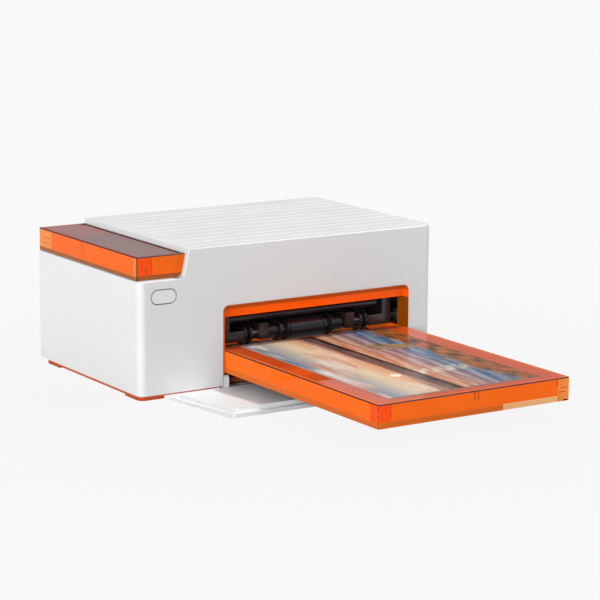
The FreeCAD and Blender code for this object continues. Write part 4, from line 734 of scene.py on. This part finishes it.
def even_shade(obj):
    """Let the large flat faces set the shading beside them, so that they look flat."""
    obj.modifiers.new("even_shade", "WEIGHTED_NORMAL").keep_sharp = True


casing = rounded_piece("main_casing", "casing_shell", shell_white, 0.0, WALL_CREASE)
sharpen_grooves(casing)
even_shade(casing)

cover = rounded_piece("front_cover", "fold_down_cover", cover_white, COVER_ROUND)
# Faces that turn to the left take the greyer white: painted shade on the cover's left flanks
cover.data.materials.append(cover_flank_shade)
for face in cover.data.polygons:
    if face.normal.x < FLANK_TURN:
        face.material_index = 1

button = soften(clean_copy("power_button", "button_cap"), 0.0)
finish_piece(button, "power_button", button_white)
button_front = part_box("power_button")[0][1] + LEVEL
mark_edges(button, lambda a, b: (a[:, 1] < button_front) & (b[:, 1] < button_front))
button.data.materials.append(groove_grey)
round_marked(button, BUTTON_RIM, 2, 1)

clear_piece("slot_frame", "opening_liner", liner_orange, LINER_ROUND)
tray = clear_piece("paper_tray", "clear_tray", tray_orange, WALL_ROUND, TRAY_TOP_CORNER,
                   tray_low, tray_high)
paint_where(tray, floor_orange, lambda place: place[:, 2] < tray_low.z + TRAY_FLOOR_TOP)
even_shade(clear_piece("tray_lid", "clear_tray_lid", frame_orange, TRAY_LID_ROUND))
clear_piece("storage_box", "clear_storage_box", box_orange, WALL_ROUND, BOX_TOP_CORNER,
            box_low, box_high)
lid = clear_piece("storage_lid", "clear_storage_lid", lid_orange, 0.0)
paint_where(lid, pin_orange, lambda place: place[:, 2] < lid_high.z - LID_TOP_SKIN)
paint_where(lid, pin_orange, lambda place: place[:, 0] > lid_high.x - LID_BARREL)
even_shade(lid)

springs = rounded_piece("lift_springs", "leaf_springs", steel, 0.0)
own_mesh(springs)

for finish, names in FINISHES.items():
    for node_name in names:
        paint(nodes[node_name], finish)

# The print: its size in millimetres, and places on it as shares of its width and length
SHEET_W = 101.6
SHEET_L = 152.4
PRINT_PITCH = 0.5 * MM
EDGE_LINE = 0.5
HAZE = 0.24
SKY_END = 0.44
HORIZON = 0.49
NEAR_WATER = 0.80
SUN_U = 0.335
SUN_V = 0.28
SUN_RADIUS = 3.4
GLITTER_HALF = 0.035
JETTY_V = 0.68
JETTY_HALF = 0.045
JETTY_SLANT = 0.25
JETTY_END = 0.60
JETTY_BOARDS = 42
REEDS = 64
REED_LINE = 0.80
REED_GAP = 0.08
SHORE = 0.86
WARM_SKY = rgb(240, 214, 178)

# Mountain ridges: place, swing, waves and seed of the ridge line, then its deep and pale colour,
# and the seed and waves of its shade
RIDGES = (
    (0.36, 0.03, 1.1, 41, rgb(150, 110, 104), rgb(192, 146, 126), 12, 4.0),
    (0.405, 0.022, 2.2, 42, rgb(86, 64, 66), rgb(128, 94, 84), 13, 4.0),
    (0.455, 0.012, 6.0, 43, rgb(18, 14, 18), rgb(62, 44, 36), 17, 9.0),
)


def grid_faces(rows, columns):
    """Quads of a grid of points that is stored row by row."""
    start = (np.arange(rows - 1)[:, None] * columns + np.arange(columns - 1)[None, :]).ravel()
    return np.stack([start, start + 1, start + columns + 1, start + columns], axis=1)


def mesh_object(name, points, faces):
    """An object from rows of x, y, z and a list of faces."""
    mesh = bpy.data.meshes.new(name)
    mesh.from_pydata(points.tolist(), [], faces)
    mesh.update()
    return show_mesh(name, mesh)


def soft_step(value, edge, width):
    """0 below an edge and 1 above it, with a smooth change of the given width between."""
    t = np.clip((value - edge) / width + 0.5, 0, 1)
    return t * t * (3 - 2 * t)


def ripple(u, v, seed, octaves=5, start=3.0):
    """Smooth random relief: a sum of sine waves whose length halves from one to the next."""
    draw = np.random.default_rng(seed)
    total = np.zeros_like(u)
    for octave in range(octaves):
        for _ in range(4):
            angle = draw.uniform(0, 2 * math.pi)
            phase = draw.uniform(0, 2 * math.pi)
            wave = start * 2 ** octave * draw.uniform(0.7, 1.3)
            along = u * math.cos(angle) + v * math.sin(angle)
            total += np.sin(2 * math.pi * wave * along + phase) / 2 ** octave
    return total / 4


def shade(u, v, deep, pale, seed, wave=4.0, gain=0.45):
    """A colour field between a deep and a pale colour, as far as a random relief is high."""
    light = np.clip(0.5 + gain * ripple(u, v, seed, 6, wave), 0, 1)[..., None]
    return np.asarray(deep) * (1 - light) + np.asarray(pale) * light


def lay(image, field, mask):
    """Lay a colour field over an image where a mask of 0 to 1 is set."""
    return image * (1 - mask[..., None]) + field * mask[..., None]


def print_colours(u, v):
    """A made-up lake at dusk for the sheet: u runs across it from the sky at the left edge to the
    near shore at the right edge, and v runs along the horizon. Both go from 0 to 1.

    The sky and the water are colours that change along u, with clouds and waves stretched along v.
    Each mountain ridge and the shore end at a line that is a sum of sines along v. Reeds are
    narrow stripes across v, and a jetty of boards runs out from the shore."""
    def beyond(level, swing, wave, seed, blur=0.004):
        return soft_step(u, level + swing * ripple(v, 0 * v, seed, 4, wave), blur)

    def between(low, high, start, stop):
        share = np.clip((u - start) / (stop - start), 0, 1)[..., None]
        return np.asarray(low) * (1 - share) + np.asarray(high) * share

    image = between(rgb(88, 128, 158), WARM_SKY, 0.0, HAZE)
    dusk = between(WARM_SKY, rgb(228, 118, 48), HAZE, SKY_END)
    image = lay(image, dusk, soft_step(u, HAZE, 0.01))
    clouds = soft_step(ripple(2.6 * u, 0.8 * v, 8, 5, 2.2), 0.15, 0.7)
    clouds = clouds * soft_step(0.36 - u, 0.0, 0.2)
    cloud_tone = shade(2 * u, v, rgb(206, 132, 92), rgb(252, 244, 232), 3, 3.0)
    image = lay(image, cloud_tone, clouds * 0.8)
    from_sun = np.hypot((u - SUN_U) * SHEET_W, (v - SUN_V) * SHEET_L)
    image = lay(image, rgb(255, 246, 224), soft_step(SUN_RADIUS - from_sun, 0.0, 0.8))
    for level, swing, line_wave, line_seed, deep, pale, seed, wave in RIDGES:
        ridge = shade(u, v, deep, pale, seed, wave)
        image = lay(image, ridge, beyond(level, swing, line_wave, line_seed))

    water = between(rgb(214, 130, 84), rgb(52, 92, 130), HORIZON, NEAR_WATER)
    waves = soft_step(ripple(7.0 * u, 0.8 * v, 16, 6, 4.0), 0.1, 0.6)
    crests = between(rgb(250, 214, 176), rgb(150, 184, 208), HORIZON, NEAR_WATER)
    water = lay(water, crests, waves * 0.55)
    glitter = soft_step(ripple(16 * u, 3 * v, 21, 4, 3.0), 0.1, 0.3)
    glitter = glitter * soft_step(GLITTER_HALF - np.abs(v - SUN_V), 0, 0.03)
    water = lay(water, rgb(255, 240, 214), glitter * 0.8)
    image = lay(image, water, soft_step(u, HORIZON, 0.003))

    from_jetty = np.abs(v - JETTY_V + JETTY_SLANT * (u - NEAR_WATER))
    jetty = soft_step(JETTY_HALF - from_jetty, 0.0, 0.004) * soft_step(u, JETTY_END, 0.003)
    boards = shade(u, v, rgb(116, 84, 60), rgb(206, 174, 138), 19, 9.0)
    gaps = soft_step(np.sin(2 * math.pi * JETTY_BOARDS * u), 0.85, 0.1)
    image = lay(image, lay(boards, rgb(34, 26, 24), gaps), jetty)
    shore = shade(u, v, rgb(44, 24, 16), rgb(188, 92, 34), 14, 8.0, 0.6)
    image = lay(image, shore, beyond(SHORE, 0.035, 1.7, 44))
    stalks = 2 * math.pi * (REEDS * v + 0.5 * ripple(u, v, 31, 2, 2.0))
    reeds = soft_step(np.sin(stalks), 0.55, 0.3)
    tops = beyond(REED_LINE, 0.05, 9.0, 47) * soft_step(np.abs(v - JETTY_V), REED_GAP, 0.02)
    reed_tone = shade(u, v, rgb(30, 20, 14), rgb(226, 158, 88), 18, 12.0)
    image = lay(image, reed_tone, reeds * tops)
    edge = np.minimum(np.minimum(u, 1 - u) * SHEET_W, np.minimum(v, 1 - v) * SHEET_L)
    return lay(image, rgb(70, 58, 50), (edge < EDGE_LINE) * 0.7)


def photo_sheet():
    """The sheet as a closed skin: a flat top grid, edges straight down and a plain back."""
    low, high = (Vector(c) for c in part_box("photo_print"))
    columns = int((high.x - low.x) / PRINT_PITCH) + 1
    rows = int((high.y - low.y) / PRINT_PITCH) + 1
    u, v = np.meshgrid(np.linspace(0, 1, columns), np.linspace(0, 1, rows))
    x = low.x + u * (high.x - low.x)
    y = low.y + v * (high.y - low.y)
    top = np.stack([x, y, np.full_like(x, high.z)], axis=-1).reshape(-1, 3)
    ring = np.concatenate([np.arange(columns), np.arange(1, rows) * columns + columns - 1,
                           (rows - 1) * columns + np.arange(columns - 2, -1, -1),
                           np.arange(rows - 2, 0, -1) * columns])
    under = top[ring].copy()
    under[:, 2] = low.z
    count = len(top)
    loop = np.arange(len(ring))
    after = np.roll(loop, -1)
    faces = grid_faces(rows, columns).tolist()
    faces += np.stack([ring, count + loop, count + after, ring[after]], axis=1).tolist()
    faces.append((count + loop[::-1]).tolist())
    obj = mesh_object("photo_sheet", np.concatenate([top, under]), faces)
    colours = np.ones((count + len(ring), 4))
    colours[:count, :3] = print_colours(u, v).reshape(-1, 3)
    colours[count:, :3] = rgb(240, 240, 238)
    layer = obj.data.attributes.new("picture", "FLOAT_COLOR", "POINT")
    layer.data.foreach_set("color", colours.ravel())
    return finish_piece(obj, "photo_print", photo_gloss)


photo_sheet()


def aim(yaw, pitch, roll):
    """Camera axes from its heading, from how far it looks down and from its turn."""
    a, b, c = (math.radians(v) for v in (yaw, pitch, roll))
    ahead = Vector((math.sin(a) * math.cos(b), math.cos(a) * math.cos(b), -math.sin(b)))
    right = Vector((math.cos(a), -math.sin(a), 0))
    up = right.cross(ahead)
    side = right * math.cos(c) + up * math.sin(c)
    top = up * math.cos(c) - right * math.sin(c)
    return Matrix((side, top, -ahead)).transposed().to_4x4()


def make_camera():
    """The camera of the photograph's view."""
    data = bpy.data.cameras.new("view")
    data.lens = CAMERA_LENS
    data.sensor_width = SENSOR
    data.clip_end = CAMERA_REACH
    camera = bpy.data.objects.new("view", data)
    camera.matrix_world = Matrix.Translation(CAMERA_PLACE) @ aim(CAMERA_YAW, CAMERA_PITCH,
                                                                  CAMERA_ROLL)
    bpy.context.scene.collection.objects.link(camera)
    bpy.context.scene.camera = camera


def seen_directly(tree):
    """The light path, and 1 for rays from the camera, from mirrors and through clear pieces."""
    path = tree.nodes.new("ShaderNodeLightPath")
    total = path.outputs["Is Camera Ray"]
    for name in ("Is Glossy Ray", "Is Transmission Ray"):
        total = combine(tree, "MAXIMUM", total, path.outputs[name])
    return path, total


def make_world():
    """Even light from all round; what mirrors see is greyer near the horizon than above."""
    world = bpy.data.worlds.new("studio")
    bpy.context.scene.world = world
    world.use_nodes = True
    tree = world.node_tree
    tree.nodes.clear()
    path, seen = seen_directly(tree)
    coords = tree.nodes.new("ShaderNodeTexCoord")
    split = tree.nodes.new("ShaderNodeSeparateXYZ")
    tree.links.new(coords.outputs["Generated"], split.inputs["Vector"])
    mirror = ramp(tree, split.outputs["Z"], MIRROR_LOW, MIRROR_HIGH, MIRROR_START, MIRROR_END)
    back_grey = (BACK_LEVEL, BACK_LEVEL, BACK_LEVEL)
    air_grey = (AIR_LEVEL, AIR_LEVEL, AIR_LEVEL)
    shown = link_mix(tree, path.outputs["Is Glossy Ray"], back_grey, mirror)
    pick = link_mix(tree, seen, air_grey, shown)
    back = tree.nodes.new("ShaderNodeBackground")
    tree.links.new(pick, back.inputs["Color"])
    out = tree.nodes.new("ShaderNodeOutputWorld")
    tree.links.new(back.outputs["Background"], out.inputs["Surface"])


def floor_finish():
    """A pale floor that is as bright as the background, keeps a faint shadow near the object and
    its full shadow behind the front cover, under the tray's end of the casing."""
    mat, tree, bsdf = material("pale_floor")
    bsdf.inputs["Base Color"].default_value = (FLOOR_PALE, FLOOR_PALE, FLOOR_PALE, 1)
    bsdf.inputs["Roughness"].default_value = 1.0
    bsdf.inputs["Specular IOR Level"].default_value = 0.0
    _, seen = seen_directly(tree)
    glow = tree.nodes.new("ShaderNodeEmission")
    glow.inputs["Color"].default_value = (BACK_LEVEL, BACK_LEVEL, BACK_LEVEL, 1)
    coords = tree.nodes.new("ShaderNodeTexCoord")
    reach = tree.nodes.new("ShaderNodeVectorMath")
    reach.operation = "LENGTH"
    tree.links.new(coords.outputs["Object"], reach.inputs[0])
    far = ramp(tree, reach.outputs["Value"], 1 - SHADOW_SHARE, 1.0, SHADOW_START, SHADOW_REACH)
    share = combine(tree, "MULTIPLY", seen, far)
    casing_low, casing_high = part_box("main_casing")
    shaded = inside_box(tree, (tray_low.x, casing_low[1]), (tray_high.x, casing_high[1]))
    share = combine(tree, "SUBTRACT", share, shaded)
    mix = tree.nodes.new("ShaderNodeMixShader")
    tree.links.new(share, mix.inputs["Fac"])
    tree.links.new(bsdf.outputs["BSDF"], mix.inputs[1])
    tree.links.new(glow.outputs["Emission"], mix.inputs[2])
    tree.links.new(mix.outputs["Shader"], tree.nodes["Material Output"].inputs["Surface"])
    return mat


def make_floor():
    """A square of floor round the origin."""
    half = FLOOR_SIDE / 2
    corners = np.array([(-half, -half, 0), (half, -half, 0), (half, half, 0), (-half, half, 0)])
    floor = mesh_object("floor", corners, [[0, 1, 2, 3]])
    floor.data.materials.append(floor_finish())


def make_sun(name, power, angle, source):
    """A lamp far away, whose light comes from the given direction; the angle is in degrees."""
    data = bpy.data.lights.new(name, "SUN")
    data.energy = power
    data.angle = math.radians(angle)
    lamp = bpy.data.objects.new(name, data)
    lamp.rotation_euler = Vector(source).to_track_quat("Z", "Y").to_euler()
    bpy.context.scene.collection.objects.link(lamp)


make_camera()
make_world()
make_floor()
make_sun("key_lamp", KEY_POWER, KEY_ANGLE, KEY_FROM)
make_sun("side_lamp", SIDE_POWER, SIDE_ANGLE, SIDE_FROM)
bpy.context.scene.view_settings.view_transform = "Standard"
